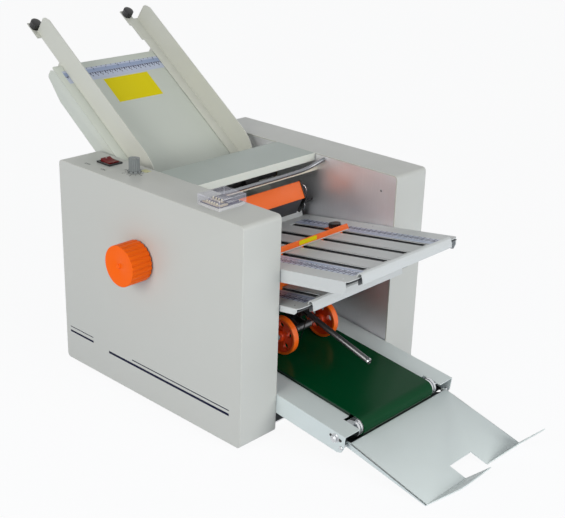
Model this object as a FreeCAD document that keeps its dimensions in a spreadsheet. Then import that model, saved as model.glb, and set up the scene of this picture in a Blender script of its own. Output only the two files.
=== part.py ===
import FreeCAD, Part
import Sketcher
import math
import os
import re

# Paper folding machine, built from one sheet of sizes.
# Machine axes: x from the rear of the covers to the front, y from the knob
# side to the far side, z up from the desk.

doc = FreeCAD.newDocument("folder")
sheet = doc.addObject("Spreadsheet::Sheet", "Sizes")
SIZES = {
    # where the machine stands in the shared frame
    "datum_x": -251,
    "centre_y": 19.8,
    # housing
    "machine_length": 400,
    "machine_height": 340,
    "machine_width": 395,
    "cover_depth": 72,
    "cover_wall": 2,
    "cover_round": 7,
    "frame_plate": 4,
    "frame_recess": 1,
    "foot_height": 6,
    "foot_radius": 12,
    "foot_inset": 45,
    "tie_radius": 4,
    "screw_radius": 2,
    "running_gap": 0.05,
    "body_gap": 0.4,
    # hood, strip and guard panel
    "hood_front": 234.5,
    "hood_rear": 132,
    "hood_lip": 12.3,
    "hood_sheet": 2,
    "strip_height": -25,
    "panel_top": -41,
    "panel_bottom": -66,
    "panel_reach": 93,
    # feed table, along the slope from its datum on the top surface
    "table_angle": 35.5,
    "table_datum_x": 173.05,
    "table_datum_z": -97.4,
    "table_top_end": 356,
    "table_low_end": 28,
    "table_half_width": 119,
    "table_flange": 18,
    "table_sheet": 1.5,
    "guide_height": 40,
    "guide_overhang": 78,
    "guide_low_end": 74,
    "guide_flange": 20,
    "left_guide_y": 101,
    "right_guide_y": 110,
    "lock_knob_radius": 8.5,
    "lock_knob_height": 9,
    # fold rollers
    "knob_x": 188,
    "knob_z": -109,
    "roller_radius": 15.75,
    "roller_pitch": 32,
    "stack_lean": 24,
    "journal_radius": 6,
    "bearing_radius": 9,
    "gear_width": 8,
    "tooth_height": 4.4,
    "hand_knob_radius": 31,
    "hand_knob_width": 37,
    "feed_radius": 18,
    "feed_gap": 1,
    "feed_slope": 50,
    # drive
    "motor_x": 85,
    "motor_z": 50,
    "motor_radius": 28,
    "motor_pulley_radius": 12,
    "main_pulley_radius": 30,
    "small_pulley_radius": 9,
    "belt_thickness": 1.5,
    # fold plates
    "plate_rise": 8.5,
    "plate_x": 220,
    "upper_plate_z": -106.75,
    "lower_plate_z": -160.75,
    "upper_plate_length": 301,
    "lower_plate_length": 217,
    "front_plate_half": 123.5,
    "rear_plate_x": 160,
    "upper_rear_z": -137,
    "lower_rear_z": -195,
    "rear_plate_length": 222,
    "rear_plate_half": 119,
    "plate_sheet": 1.2,
    "plate_channel": 2.4,
    "slot_width": 12,
    "slot_pitch": 44,
    "lip_half_width": 99.3,
    "stop_place": 128,
    # delivery
    "conveyor_slope": 6.56,
    "conveyor_x": 402,
    "conveyor_z": -273,
    "rail_half": 125,
    "rail_inner": 81,
    "rail_depth": 30,
    "rail_rear": 250,
    "rail_front": 128.8,
    "conveyor_roller_radius": 13,
    "conveyor_axis_drop": 9.5,
    "conveyor_drive_back": 181,
    "conveyor_end_ahead": 112.5,
    "belt_half": 78,
    "rod_slope": 16,
    "rod_x": 338,
    "rod_z": -203,
    "rod_radius": 4.5,
    "rod_front": 134.5,
    "rod_rear": 105,
    "wheel_x": 333,
    "wheel_z": -229.2,
    "wheel_radius": 30,
    "wheel_width": 10,
    "wheel_apart": 45,
    "arm_pivot_x": 308,
    "arm_pivot_z": -222,
    "axle_radius": 3,
    "tray_slope": 14.5,
    "tray_x": 522.7,
    "tray_z": -301,
    "tray_length": 143.4,
    "tray_half": 112,
    "tray_sheet": 1.5,
    "tray_pin_ahead": 125.2,
    "tray_pin_drop": 19.5,
    "tray_pin_radius": 1.8,
    # controls
    "switch_x": 65.75,
    "switch_y": 151.8,
    "rocker_pin": 1.5,
    "speed_x": 127,
    "speed_y": 154,
    "counter_x": 316,
    "counter_y": 156.5,
}

# heights that hang from the top of the side frames are given from the covers' top, so they are negative
FROM_TOP = ["strip_height", "panel_top", "panel_bottom", "table_datum_z", "knob_z", "upper_plate_z", "lower_plate_z",
            "upper_rear_z", "lower_rear_z", "conveyor_z", "rod_z", "wheel_z", "arm_pivot_z", "tray_z"]

NAMES = {}
for row, (name, value) in enumerate(SIZES.items(), 1):
    sheet.set("A%d" % row, str(value))
    sheet.setAlias("A%d" % row, name)
    NAMES[name] = "Sizes." + name
for name in FROM_TOP:
    NAMES[name] = "(Sizes.machine_height + Sizes.%s)" % name


def full(formula):
    return re.sub(r"[a-z]+(?:_[a-z]+)*", lambda m: NAMES.get(m.group(0), m.group(0)), str(formula))


def derived(name, formula):
    NAMES[name] = "(" + full(formula) + ")"


derived("outer", "machine_width / 2")
derived("rim", "machine_width / 2 - cover_depth")
derived("inner", "rim + frame_recess")
derived("frame_out", "inner + frame_plate")
derived("gear_in", "frame_out + 3")
derived("gear_out", "gear_in + gear_width")
derived("belt_in", "gear_out + 9")
derived("belt_out", "belt_in + 8")
derived("short_in", "gear_out + 2")
derived("short_out", "short_in + 5")
derived("stack_dx", "roller_pitch * sin(stack_lean)")
derived("stack_dz", "roller_pitch * cos(stack_lean)")
derived("feed_x", "table_datum_x - feed_slope * cos(table_angle) + (feed_radius + feed_gap) * sin(table_angle)")
derived("feed_z", "table_datum_z + feed_slope * sin(table_angle) + (feed_radius + feed_gap) * cos(table_angle)")
derived("drive_x", "conveyor_x - conveyor_drive_back * cos(conveyor_slope) - conveyor_axis_drop * sin(conveyor_slope)")
derived("drive_z", "conveyor_z + conveyor_drive_back * sin(conveyor_slope) - conveyor_axis_drop * cos(conveyor_slope)")
derived("last_x", "knob_x")
derived("last_z", "knob_z - 4 * stack_dz")

COUNT = [0]


def add(kind):
    COUNT[0] += 1
    return doc.addObject(kind, "Piece%d" % COUNT[0])


def bind(obj, prop, formula):
    obj.setExpression(prop, full(formula))


def at(obj, x=0, y=0, z=0):
    bind(obj, "Placement.Base.x", x)
    bind(obj, "Placement.Base.y", y)
    bind(obj, "Placement.Base.z", z)
    return obj


def box(x0, x1, y0, y1, z0, z1):
    b = add("Part::Box")
    bind(b, "Length", "(%s) - (%s)" % (x1, x0))
    bind(b, "Width", "(%s) - (%s)" % (y1, y0))
    bind(b, "Height", "(%s) - (%s)" % (z1, z0))
    return at(b, x0, y0, z0)


def cyl_z(x, y, r, z0, z1):
    c = add("Part::Cylinder")
    bind(c, "Radius", r)
    bind(c, "Height", "(%s) - (%s)" % (z1, z0))
    return at(c, x, y, z0)


def cyl_y(x, z, r, y0, y1):
    c = add("Part::Cylinder")
    bind(c, "Radius", r)
    bind(c, "Height", "(%s) - (%s)" % (y1, y0))
    c.Placement = FreeCAD.Placement(FreeCAD.Vector(), FreeCAD.Rotation(FreeCAD.Vector(1, 0, 0), -90))
    return at(c, x, y0, z)


def cyl_x(y, z, r, x0, x1):
    c = add("Part::Cylinder")
    bind(c, "Radius", r)
    bind(c, "Height", "(%s) - (%s)" % (x1, x0))
    c.Placement = FreeCAD.Placement(FreeCAD.Vector(), FreeCAD.Rotation(FreeCAD.Vector(0, 1, 0), 90))
    return at(c, x0, y, z)


def fuse(*parts):
    f = add("Part::MultiFuse")
    f.Shapes = list(parts)
    return f


def cut(base, *tools):
    c = add("Part::Cut")
    c.Base = base
    c.Tool = fuse(*tools) if len(tools) > 1 else tools[0]
    return c


def group(*parts):
    g = add("Part::Compound")
    g.Links = list(parts)
    return g


def plane_of(body, role):
    return [f for f in body.Origin.OriginFeatures if f.Role == role][0]


def sketch_on(body, role, offset):
    sk = body.newObject("Sketcher::SketchObject", "Outline")
    sk.AttachmentSupport = [(plane_of(body, role), "")]
    sk.MapMode = "FlatFace"
    bind(sk, "AttachmentOffset.Base.z", offset)
    return sk


def hold(sk, kind, first, second, formula):
    k = sk.addConstraint(Sketcher.Constraint(kind, -1, 1, first, second, 1.0))
    bind(sk, "Constraints[%d]" % k, formula)


def outline(sk, points):
    n = len(points)
    first = sk.GeometryCount
    for i in range(n):
        a = 2 * math.pi * i / n
        b = 2 * math.pi * (i + 1) / n
        sk.addGeometry(Part.LineSegment(FreeCAD.Vector(20 + 9 * math.cos(a), 9 * math.sin(a), 0),
                                        FreeCAD.Vector(20 + 9 * math.cos(b), 9 * math.sin(b), 0)))
    for i in range(n):
        sk.addConstraint(Sketcher.Constraint("Coincident", first + i, 2, first + (i + 1) % n, 1))
    for i, (u, v) in enumerate(points):
        hold(sk, "DistanceX", first + i, 1, u)
        hold(sk, "DistanceY", first + i, 1, v)


def ring_of(sk, u, v, r):
    g = sk.GeometryCount
    sk.addGeometry(Part.Circle(FreeCAD.Vector(3, 3, 0), FreeCAD.Vector(0, 0, 1), 3))
    hold(sk, "DistanceX", g, 3, u)
    hold(sk, "DistanceY", g, 3, v)
    k = sk.addConstraint(Sketcher.Constraint("Radius", g, 3.0))
    bind(sk, "Constraints[%d]" % k, r)


def pad_of(body, sk, length):
    p = body.newObject("PartDesign::Pad", "Pad")
    p.Profile = sk
    bind(p, "Length", length)
    return p


def prism_y(points, y0, y1):
    body = add("PartDesign::Body")
    sk = sketch_on(body, "XZ_Plane", "-(%s)" % y1)
    outline(sk, points)
    pad_of(body, sk, "(%s) - (%s)" % (y1, y0))
    return body


def prism_z(points, z0, z1):
    body = add("PartDesign::Body")
    sk = sketch_on(body, "XY_Plane", z0)
    outline(sk, points)
    pad_of(body, sk, "(%s) - (%s)" % (z1, z0))
    return body


def tilt(obj, angle, x, y, z):
    obj.Placement = FreeCAD.Placement(FreeCAD.Vector(), FreeCAD.Rotation(FreeCAD.Vector(0, 1, 0), 10))
    bind(obj, "Placement.Rotation.Angle", angle)
    return at(obj, x, y, z)


def on_machine(obj):
    return at(obj, "datum_x", "centre_y", 0)


def on_table(obj):
    return tilt(obj, "table_angle", "datum_x + table_datum_x", "centre_y", "table_datum_z")


def on_front(obj, height):
    return tilt(obj, "-plate_rise", "datum_x + plate_x", "centre_y", height)


def on_rear(obj, height):
    obj.Placement = FreeCAD.Placement(FreeCAD.Vector(), FreeCAD.Rotation(FreeCAD.Vector(0.1, 0, 1), 180))
    bind(obj, "Placement.Rotation.Axis.x", "sin(plate_rise / 2)")
    bind(obj, "Placement.Rotation.Axis.z", "cos(plate_rise / 2)")
    return at(obj, "datum_x + rear_plate_x", "centre_y", height)


def on_conveyor(obj):
    return tilt(obj, "conveyor_slope", "datum_x + conveyor_x", "centre_y", "conveyor_z")


def on_rod(obj):
    return tilt(obj, "rod_slope", "datum_x + rod_x", "centre_y", "rod_z")


def on_tray(obj):
    return tilt(obj, "tray_slope", "datum_x + tray_x", "centre_y", "tray_z")


NODES = []


def node(label, obj):
    obj.Label = label
    NODES.append(obj)
    return obj


# ---------------------------------------------------------------- housing
BOSSES = [("30", "machine_height - 30"), ("machine_length - 30", "machine_height - 30"),
          ("30", "foot_height + 30"), ("machine_length - 30", "foot_height + 30")]


def soft_box(y0, y1, inset, keep_at):
    body = add("PartDesign::Body")
    sk = sketch_on(body, "XZ_Plane", "-(%s)" % y1)
    outline(sk, [(inset, "foot_height + " + inset), ("machine_length - " + inset, "foot_height + " + inset),
                 ("machine_length - " + inset, "machine_height - " + inset), (inset, "machine_height - " + inset)])
    pad = pad_of(body, sk, "(%s) - (%s)" % (y1, y0))
    doc.recompute()
    edges = ["Edge%d" % (i + 1) for i, e in enumerate(pad.Shape.Edges)
             if not all(abs(v.Point.y - keep_at) < 0.01 for v in e.Vertexes)]
    soft = body.newObject("PartDesign::Fillet", "Soft")
    soft.Base = (pad, edges)
    bind(soft, "Radius", "cover_round - " + inset)
    return body


OPEN_END = SIZES["machine_width"] / 2 - SIZES["cover_depth"]


def shell(sign):
    if sign < 0:
        return cut(soft_box("-outer", "-rim", "0", -OPEN_END),
                   soft_box("-(outer - cover_wall)", "-(rim - 1)", "cover_wall", 1 - OPEN_END))
    return cut(soft_box("rim", "outer", "0", OPEN_END),
               soft_box("rim - 1", "outer - cover_wall", "cover_wall", OPEN_END - 1))


def bosses(sign):
    parts = []
    for x, z in BOSSES:
        if sign < 0:
            parts.append(cyl_y(x, z, "5", "-(outer - cover_wall / 2)", "-frame_out"))
        else:
            parts.append(cyl_y(x, z, "5", "frame_out", "outer - cover_wall / 2"))
    return parts


def screw_holes(sign):
    parts = []
    for x, z in BOSSES:
        if sign < 0:
            parts.append(cyl_y(x, z, "screw_radius", "-(frame_out + 10)", "-frame_out + 1"))
        else:
            parts.append(cyl_y(x, z, "screw_radius", "frame_out - 1", "frame_out + 10"))
    return parts


near = fuse(shell(-1), *bosses(-1))
near = cut(near, *(screw_holes(-1) + [
    cyl_y("knob_x", "knob_z", "8", "-(outer + 1)", "-(outer - cover_wall - 3)"),
    box("switch_x - 13.5", "switch_x + 13.5", "-switch_y - 11.5", "-switch_y + 11.5", "machine_height - 6", "machine_height + 1"),
    cyl_z("speed_x", "-speed_y", "3.6", "machine_height - 6", "machine_height + 1"),
]))
node("near_side_cover", on_machine(near))
far = cut(fuse(shell(1), *bosses(1)), *screw_holes(1))
node("far_side_cover", on_machine(far))

SHAFTS = [("knob_x + stack_dx", "knob_z + stack_dz"), ("knob_x", "knob_z"),
          ("knob_x + stack_dx", "knob_z - stack_dz"), ("knob_x", "knob_z - 2 * stack_dz"),
          ("knob_x + stack_dx", "knob_z - 3 * stack_dz"), ("knob_x", "knob_z - 4 * stack_dz"),
          ("feed_x", "feed_z"), ("drive_x", "drive_z")]


def side_frame(y0, y1, extra):
    body = add("PartDesign::Body")
    sk = sketch_on(body, "XZ_Plane", "-(%s)" % y1)
    inset = "cover_wall + 0.2"
    outline(sk, [(inset, "foot_height + " + inset), ("machine_length - cover_wall - 0.2", "foot_height + " + inset),
                 ("machine_length - cover_wall - 0.2", "machine_height - cover_wall - 0.2"),
                 (inset, "machine_height - cover_wall - 0.2")])
    pad = pad_of(body, sk, "(%s) - (%s)" % (y1, y0))
    doc.recompute()
    edges = ["Edge%d" % (i + 1) for i, e in enumerate(pad.Shape.Edges)
             if len(e.Vertexes) == 2 and abs(e.Vertexes[0].Point.y - e.Vertexes[1].Point.y) > 1]
    soft = body.newObject("PartDesign::Fillet", "Soft")
    soft.Base = (pad, edges)
    bind(soft, "Radius", "cover_round - cover_wall + 0.6")
    a = "(%s) - 1" % y0
    b = "(%s) + 1" % y1
    holes = [cyl_y(x, z, "bearing_radius", a, b) for x, z in SHAFTS]
    holes += [cyl_y(x, z, "screw_radius", a, b) for x, z in BOSSES]
    return cut(body, *(holes + extra))


node("near_side_frame", on_machine(side_frame("-frame_out", "-inner", [
    cyl_y("motor_x", "motor_z", "10", "-frame_out - 1", "-inner + 1")])))
node("far_side_frame", on_machine(side_frame("inner", "frame_out", [])))

pan = fuse(box("cover_wall + 2", "machine_length - 12", "-inner", "inner", "foot_height + 4", "foot_height + 6"),
           box("cover_wall + 2", "cover_wall + 4", "-inner", "inner", "foot_height + 4", "120"))
pan = cut(pan, box("0", "8", "62", "86", "42", "60"))
node("base_pan", on_machine(pan))
node("power_inlet", on_machine(cut(
    fuse(box("cover_wall", "cover_wall + 2", "58", "90", "38", "64"),
         box("cover_wall + 2", "22", "62", "86", "42", "60")),
    box("0", "16", "65", "83", "45", "57"))))
feet = [cyl_z(x, y, "foot_radius", "0", "foot_height")
        for x in ("foot_inset", "machine_length - foot_inset")
        for y in ("-(rim + cover_depth / 2)", "rim + cover_depth / 2")]
node("rubber_feet", on_machine(group(*feet)))

# round bars and the square bar that holds the steel rod
rods = [cyl_y(x, z, "tie_radius", "-inner", "inner")
        for x, z in (("253", "machine_height - 7"), ("60", "machine_height - 90"), ("34", "68"), ("370", "24"))]
bar = box("230", "244", "-inner", "inner", "rod_z + 21", "rod_z + 35")
bore = tilt(fuse(cyl_x("0", "0", "rod_radius + running_gap", "-rod_rear", "0"),
                 cyl_x("0", "0", "rod_radius - 1", "-rod_rear - 12", "-rod_rear")), "rod_slope", "rod_x", "0", "rod_z")
node("tie_rods", on_machine(group(*(rods + [cut(bar, bore)]))))

# hood, strip, orange panel
hood = prism_y([("hood_rear", "machine_height - 21"), ("hood_rear + 4", "machine_height - 10"),
                ("hood_rear + 11", "machine_height - 3"), ("hood_rear + 20", "machine_height"),
                ("hood_front", "machine_height"), ("hood_front", "machine_height - hood_lip"),
                ("hood_front - hood_sheet", "machine_height - hood_lip"),
                ("hood_front - hood_sheet", "machine_height - hood_sheet"),
                ("hood_rear + 20.6", "machine_height - hood_sheet"),
                ("hood_rear + 12.3", "machine_height - 4.8"),
                ("hood_rear + 5.8", "machine_height - 11"),
                ("hood_rear + 1.9", "machine_height - 21.6")], "-(rim - 0.3)", "rim - 0.3")
ears = []
for s in ("-", ""):
    lo, mid, hi = ("rim - 2.3", "rim - 0.3", "inner")
    if s:
        ears.append(box("160", "225", "-(%s)" % mid, "-(%s)" % lo, "machine_height - 14", "machine_height - 1"))
        ears.append(box("160", "225", "-(%s)" % hi, "-(%s)" % lo, "machine_height - 14", "machine_height - 4"))
    else:
        ears.append(box("160", "225", lo, mid, "machine_height - 14", "machine_height - 1"))
        ears.append(box("160", "225", lo, hi, "machine_height - 14", "machine_height - 4"))
node("hood", on_machine(fuse(hood, *ears)))
node("cream_strip", box("datum_x + 232", "datum_x + 240", "centre_y - inner", "centre_y + inner", "strip_height - 2", "strip_height + 2"))
panel = prism_y([("232", "panel_top"), ("245", "panel_bottom"), ("243.6", "panel_bottom - 0.7"),
                 ("230.6", "panel_top - 0.7")], "-panel_reach", "panel_reach")
node("guard_panel", on_machine(fuse(
    panel,
    box("232", "243", "-inner", "-(panel_reach - 3)", "panel_bottom + 6", "panel_bottom + 14"),
    box("232", "243", "panel_reach - 3", "inner", "panel_bottom + 6", "panel_bottom + 14"))))

# ---------------------------------------------------------------- feed table
table = prism_z([("-table_top_end + 12", "-table_half_width"), ("-table_low_end", "-table_half_width"),
                 ("-table_low_end", "table_half_width"), ("-table_top_end + 12", "table_half_width"),
                 ("-table_top_end + 3.5", "table_half_width - 3.5"), ("-table_top_end", "table_half_width - 12"),
                 ("-table_top_end", "-table_half_width + 12"), ("-table_top_end + 3.5", "-table_half_width + 3.5")],
                "-table_sheet", "0")
side = [("-table_top_end + 12", "0"), ("-table_low_end", "0"), ("-table_low_end", "-table_flange * 0.6"),
        ("-table_top_end + 60", "-table_flange"), ("-table_top_end + 20", "-table_flange * 0.6")]
table = fuse(table, prism_y(side, "-table_half_width", "-table_half_width + table_sheet"),
             prism_y(side, "table_half_width - table_sheet", "table_half_width"))
table = cut(table, box("-62", "-38", "-12", "12", "-3", "1"))
node("feed_table", on_table(table))
node("separator_pad", on_table(fuse(
    box("-68", "-32", "-15", "15", "-11", "-table_sheet"),
    box("-62", "-38", "-12", "12", "-table_sheet - 1", "feed_gap - body_gap"))))


def guide_wall(y0, y1):
    return prism_y([("-table_top_end - guide_overhang", "0.6"), ("-table_top_end - guide_overhang", "guide_height - 9"),
                    ("-table_top_end - guide_overhang + 3", "guide_height - 5"),
                    ("-table_top_end - guide_overhang + 14", "guide_height"),
                    ("-guide_low_end - 56", "guide_height"), ("-guide_low_end - 38", "guide_height - 3.5"),
                    ("-guide_low_end - 22", "guide_height - 12"), ("-guide_low_end - 9", "guide_height - 25"),
                    ("-guide_low_end", "0.6")], y0, y1)


def guide_foot(y0, y1):
    return [box("-table_top_end - guide_overhang", "-guide_low_end - 2", y0, y1, "0.6", "2.1"),
            box("-table_top_end - 8", "-table_top_end - 0.5", y0, y1, "-6", "1"),
            box("-table_top_end - 8", "-table_top_end + 16", y0, y1, "-6", "-table_sheet - 0.5")]


node("left_guide", on_table(cut(
    fuse(guide_wall("-left_guide_y", "-left_guide_y + 1.5"),
         box("-table_top_end - guide_overhang - 20", "-table_top_end - guide_overhang + 14",
             "-left_guide_y - 8", "-left_guide_y + 9", "0.6", "2.1"),
         *guide_foot("-left_guide_y", "-left_guide_y + guide_flange")),
    cyl_z("-table_top_end - guide_overhang - 10", "-left_guide_y", "2.5 + running_gap", "0", "3"))))
node("right_guide", on_table(cut(
    fuse(guide_wall("right_guide_y - 1.5", "right_guide_y"),
         box("-table_top_end - guide_overhang - 20", "-table_top_end - guide_overhang + 14",
             "right_guide_y - guide_flange - 7", "right_guide_y - guide_flange + 10", "0.6", "2.1"),
         box("-table_top_end - guide_overhang + 6", "-table_top_end - guide_overhang + 50",
             "right_guide_y - guide_flange - 5", "right_guide_y - guide_flange + 2", "1.5", "3.1"),
         *guide_foot("right_guide_y - guide_flange", "right_guide_y")),
    cyl_z("-table_top_end - guide_overhang - 10", "right_guide_y - guide_flange + 1", "2.5 + running_gap", "0", "4"))))


def lock_knob(x, y, z):
    return fuse(cyl_z(x, y, "lock_knob_radius", "%s" % z, "(%s) + lock_knob_height" % z),
                cyl_z(x, y, "lock_knob_radius - 2", "(%s) + lock_knob_height - 1" % z, "(%s) + lock_knob_height + 2" % z),
                cyl_z(x, y, "2.5", "(%s) - 2" % z, "(%s) + 1" % z))


node("left_guide_knob", on_table(lock_knob("-table_top_end - guide_overhang - 10", "-left_guide_y", "2.1 + body_gap")))
node("right_guide_knob", on_table(lock_knob("-table_top_end - guide_overhang - 10", "right_guide_y - guide_flange + 1", "2.1 + body_gap")))

# ---------------------------------------------------------------- rollers


def toothed(x, z, angle):
    body = add("PartDesign::Body")
    core = sketch_on(body, "XZ_Plane", "gear_in")
    ring_of(core, "0", "0", "roller_pitch / 2 - 2.2")
    pad_of(body, core, "gear_width")
    tooth = sketch_on(body, "XZ_Plane", "gear_in")
    root = "roller_pitch / 2 - 3"
    tip = "roller_pitch / 2 - 2.4 + tooth_height"
    outline(tooth, [(root, "-1.6"), ("roller_pitch / 2", "-1.1"), (tip, "-0.6"),
                    (tip, "0.6"), ("roller_pitch / 2", "1.1"), (root, "1.6")])
    pad = pad_of(body, tooth, "gear_width")
    turn = body.newObject("PartDesign::PolarPattern", "Teeth")
    turn.Originals = [pad]
    turn.Axis = (core, ["N_Axis"])
    turn.Angle = 360
    turn.Occurrences = 16
    body.Tip = turn
    return tilt(body, angle, x, "0", z)


def fold_roller(k, extra):
    x, z = SHAFTS[k - 1]
    lean = "-(%d * stack_lean)" % (2 * (k - 1)) if k % 2 else "-(11.25 - %d * stack_lean)" % (2 * (k - 1))
    parts = [cyl_y(x, z, "roller_radius", "-(inner - 3)", "inner - 3"),
             cyl_y(x, z, "journal_radius + 2", "-(inner - 0.3)", "inner - 0.3"),
             cyl_y(x, z, "journal_radius", "-gear_out - 1", "frame_out + 2"),
             toothed(x, z, lean)]
    return on_machine(fuse(*(parts + extra)))


one_x, one_z = SHAFTS[0]
node("fold_roller_one", fold_roller(1, [cyl_y(one_x, one_z, "journal_radius", "-short_out - 1", "-gear_out"),
                                        cyl_y(one_x, one_z, "small_pulley_radius", "-short_out", "-short_in")]))
node("fold_roller_two", fold_roller(2, [cyl_y("knob_x", "knob_z", "journal_radius - 1", "-(outer + hand_knob_width + 1)", "-gear_out"),
                                        cyl_y("knob_x", "knob_z", "main_pulley_radius", "-belt_out", "-belt_in")]))
node("fold_roller_three", fold_roller(3, []))
node("fold_roller_four", fold_roller(4, []))
node("fold_roller_five", fold_roller(5, []))
node("fold_roller_six", fold_roller(6, [cyl_y("knob_x", "last_z", "small_pulley_radius", "frame_out + 4", "frame_out + 9"),
                                        cyl_y("knob_x", "last_z", "journal_radius", "frame_out", "frame_out + 10")]))

feed = fuse(cyl_y("feed_x", "feed_z", "journal_radius", "-short_out - 1", "frame_out + 2"),
            cyl_y("feed_x", "feed_z", "journal_radius + 2", "-(inner - 0.3)", "inner - 0.3"),
            cyl_y("feed_x", "feed_z", "small_pulley_radius", "-short_out", "-short_in"),
            cyl_y("feed_x", "feed_z", "feed_radius", "-75", "-45"),
            cyl_y("feed_x", "feed_z", "feed_radius", "-15", "15"),
            cyl_y("feed_x", "feed_z", "feed_radius", "45", "75"))
node("feed_roller", on_machine(feed))


def ring_y(x, z, r0, r1, y0, y1):
    return cut(cyl_y(x, z, r1, y0, y1), cyl_y(x, z, r0, "(%s) - 1" % y0, "(%s) + 1" % y1))


rings = []
for x, z in SHAFTS:
    rings.append(ring_y(x, z, "journal_radius + running_gap", "bearing_radius", "-frame_out", "-inner"))
    rings.append(ring_y(x, z, "journal_radius + running_gap", "bearing_radius", "inner", "frame_out"))
node("shaft_bearings", on_machine(group(*rings)))

# fluted hand knob
grip = add("PartDesign::Body")
disc = sketch_on(grip, "XZ_Plane", "outer + 2.5")
ring_of(disc, "0", "0", "hand_knob_radius - 2.4")
ring_of(disc, "0", "0", "journal_radius - 1")
pad_of(grip, disc, "hand_knob_width - 1")
flute = sketch_on(grip, "XZ_Plane", "outer + 2.5")
ring_of(flute, "hand_knob_radius - 2.7", "0", "2.7")
bead = pad_of(grip, flute, "hand_knob_width - 3")
ribs = grip.newObject("PartDesign::PolarPattern", "Ribs")
ribs.Originals = [bead]
ribs.Axis = (disc, ["N_Axis"])
ribs.Angle = 360
ribs.Occurrences = 22
grip.Tip = ribs
node("hand_knob", at(grip, "datum_x + knob_x", "centre_y", "knob_z"))

# motor with its pulley
motor = cut(fuse(cyl_y("motor_x", "motor_z", "motor_radius", "-118", "-30"),
                 box("motor_x - 32", "motor_x + 32", "-inner", "-117", "foot_height + 6", "motor_z + 32"),
                 box("motor_x - 32", "motor_x + 32", "-118", "-40", "foot_height + 6", "foot_height + 9"),
                 box("motor_x - 20", "motor_x + 20", "-112", "-46", "foot_height + 8", "motor_z")),
            cyl_y("motor_x", "motor_z", "4 + running_gap", "-inner - 1", "-100"))
node("drive_motor", on_machine(motor))
node("motor_pulley", on_machine(fuse(
    cyl_y("motor_x", "motor_z", "4", "-belt_out - 3", "-102"),
    cyl_y("motor_x", "motor_z", "motor_pulley_radius", "-belt_out", "-belt_in"),
    cyl_y("motor_x", "motor_z", "motor_pulley_radius - 4", "-belt_in", "-frame_out - 2"))))


def hull(xa, za, ra, xb, zb, rb, y0, y1):
    dx = "((%s) - (%s))" % (xb, xa)
    dz = "((%s) - (%s))" % (zb, za)
    d = "sqrt(%s ^ 2 + %s ^ 2)" % (dx, dz)
    sn = "(((%s) - (%s)) / %s)" % (rb, ra, d)
    cs = "sqrt(1 - %s ^ 2)" % sn
    pts = []
    for x, z, r, sign in ((xa, za, ra, "-"), (xb, zb, rb, "-"), (xb, zb, rb, "+"), (xa, za, ra, "+")):
        pts.append(("(%s) + (%s) * (-%s * %s %s %s * (-%s)) / %s" % (x, r, sn, dx, sign, cs, dz, d),
                    "(%s) + (%s) * (-%s * %s %s %s * %s) / %s" % (z, r, sn, dz, sign, cs, dx, d)))
    return fuse(prism_y(pts, y0, y1), cyl_y(xa, za, ra, y0, y1), cyl_y(xb, zb, rb, y0, y1))


def loop_belt(xa, za, ra, xb, zb, rb, y0, y1):
    grow = " + running_gap + belt_thickness"
    return cut(hull(xa, za, ra + grow, xb, zb, rb + grow, y0, y1),
               hull(xa, za, ra + " + running_gap", xb, zb, rb + " + running_gap", "(%s) - 1" % y0, "(%s) + 1" % y1))


node("drive_belts", on_machine(group(
    loop_belt("motor_x", "motor_z", "motor_pulley_radius", "knob_x", "knob_z", "main_pulley_radius", "-belt_out", "-belt_in"),
    loop_belt("feed_x", "feed_z", "small_pulley_radius", one_x, one_z, "small_pulley_radius", "-short_out", "-short_in"),
    loop_belt("last_x", "last_z", "small_pulley_radius", "drive_x", "drive_z", "small_pulley_radius", "frame_out + 4", "frame_out + 9"))))

# ---------------------------------------------------------------- fold plates


def slots(length):
    return [box("26", "%s - 17" % length, "(%s) * slot_pitch - slot_width / 2" % k,
                "(%s) * slot_pitch + slot_width / 2" % k, "-2 * plate_sheet - plate_channel - 1", "1")
            for k in ("-1.5", "-0.5", "0.5", "1.5")]


def screw_spots(length, count):
    xs = ["20", "%s / 2" % length, "%s - 17" % length] if count == 6 else ["20", "%s - 17" % length]
    return [(x, y) for x in xs for y in ("-113", "113")]


def top_sheet(length, half, depth, screws):
    sheet_top = prism_z([("0", "-" + half), (length + " - 5", "-" + half), (length + " - 1", "-%s + 4" % half),
                         (length, "-lip_half_width - 6"), (length, "lip_half_width + 6"), (length + " - 1", half + " - 4"),
                         (length + " - 5", half), ("0", half)], "-plate_sheet", "0")
    side = [("56", "0"), (length + " - 4", "0"), (length + " - 4.5", "-(%s) * 0.6" % depth),
            (length + " - 9", "-(%s)" % depth), ("56", "-(%s)" % depth)]
    lip = prism_y([(length + " - 6", "-plate_sheet"), (length + " - 6", "0"), (length + " - 2.5", "4.8"),
                   (length + " + 1", "6.5"), (length + " + 4", "4.4"), (length + " + 5.5", "-2"), (length + " + 5.5", "-9"),
                   (length + " + 4", "-9"), (length + " + 4", "-2"), (length + " + 2.8", "3.2"), (length + " + 0.8", "4.7"),
                   (length + " - 1.6", "3.4"), (length + " - 4.6", "-plate_sheet")], "-lip_half_width", "lip_half_width")
    entry = prism_y([("0", "-plate_sheet"), ("-1", "12"), ("0.2", "12"), ("2.5", "0")], "-(%s - 8)" % half, "%s - 8" % half)
    body = fuse(sheet_top, prism_y(side, "-" + half, "-%s + plate_sheet" % half),
                prism_y(side, half + " - plate_sheet", half), lip, entry)
    holes = [cyl_z(x, y, "1.2", "-3", "1") for x, y in screw_spots(length, screws)]
    return cut(body, *(slots(length) + holes))


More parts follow.
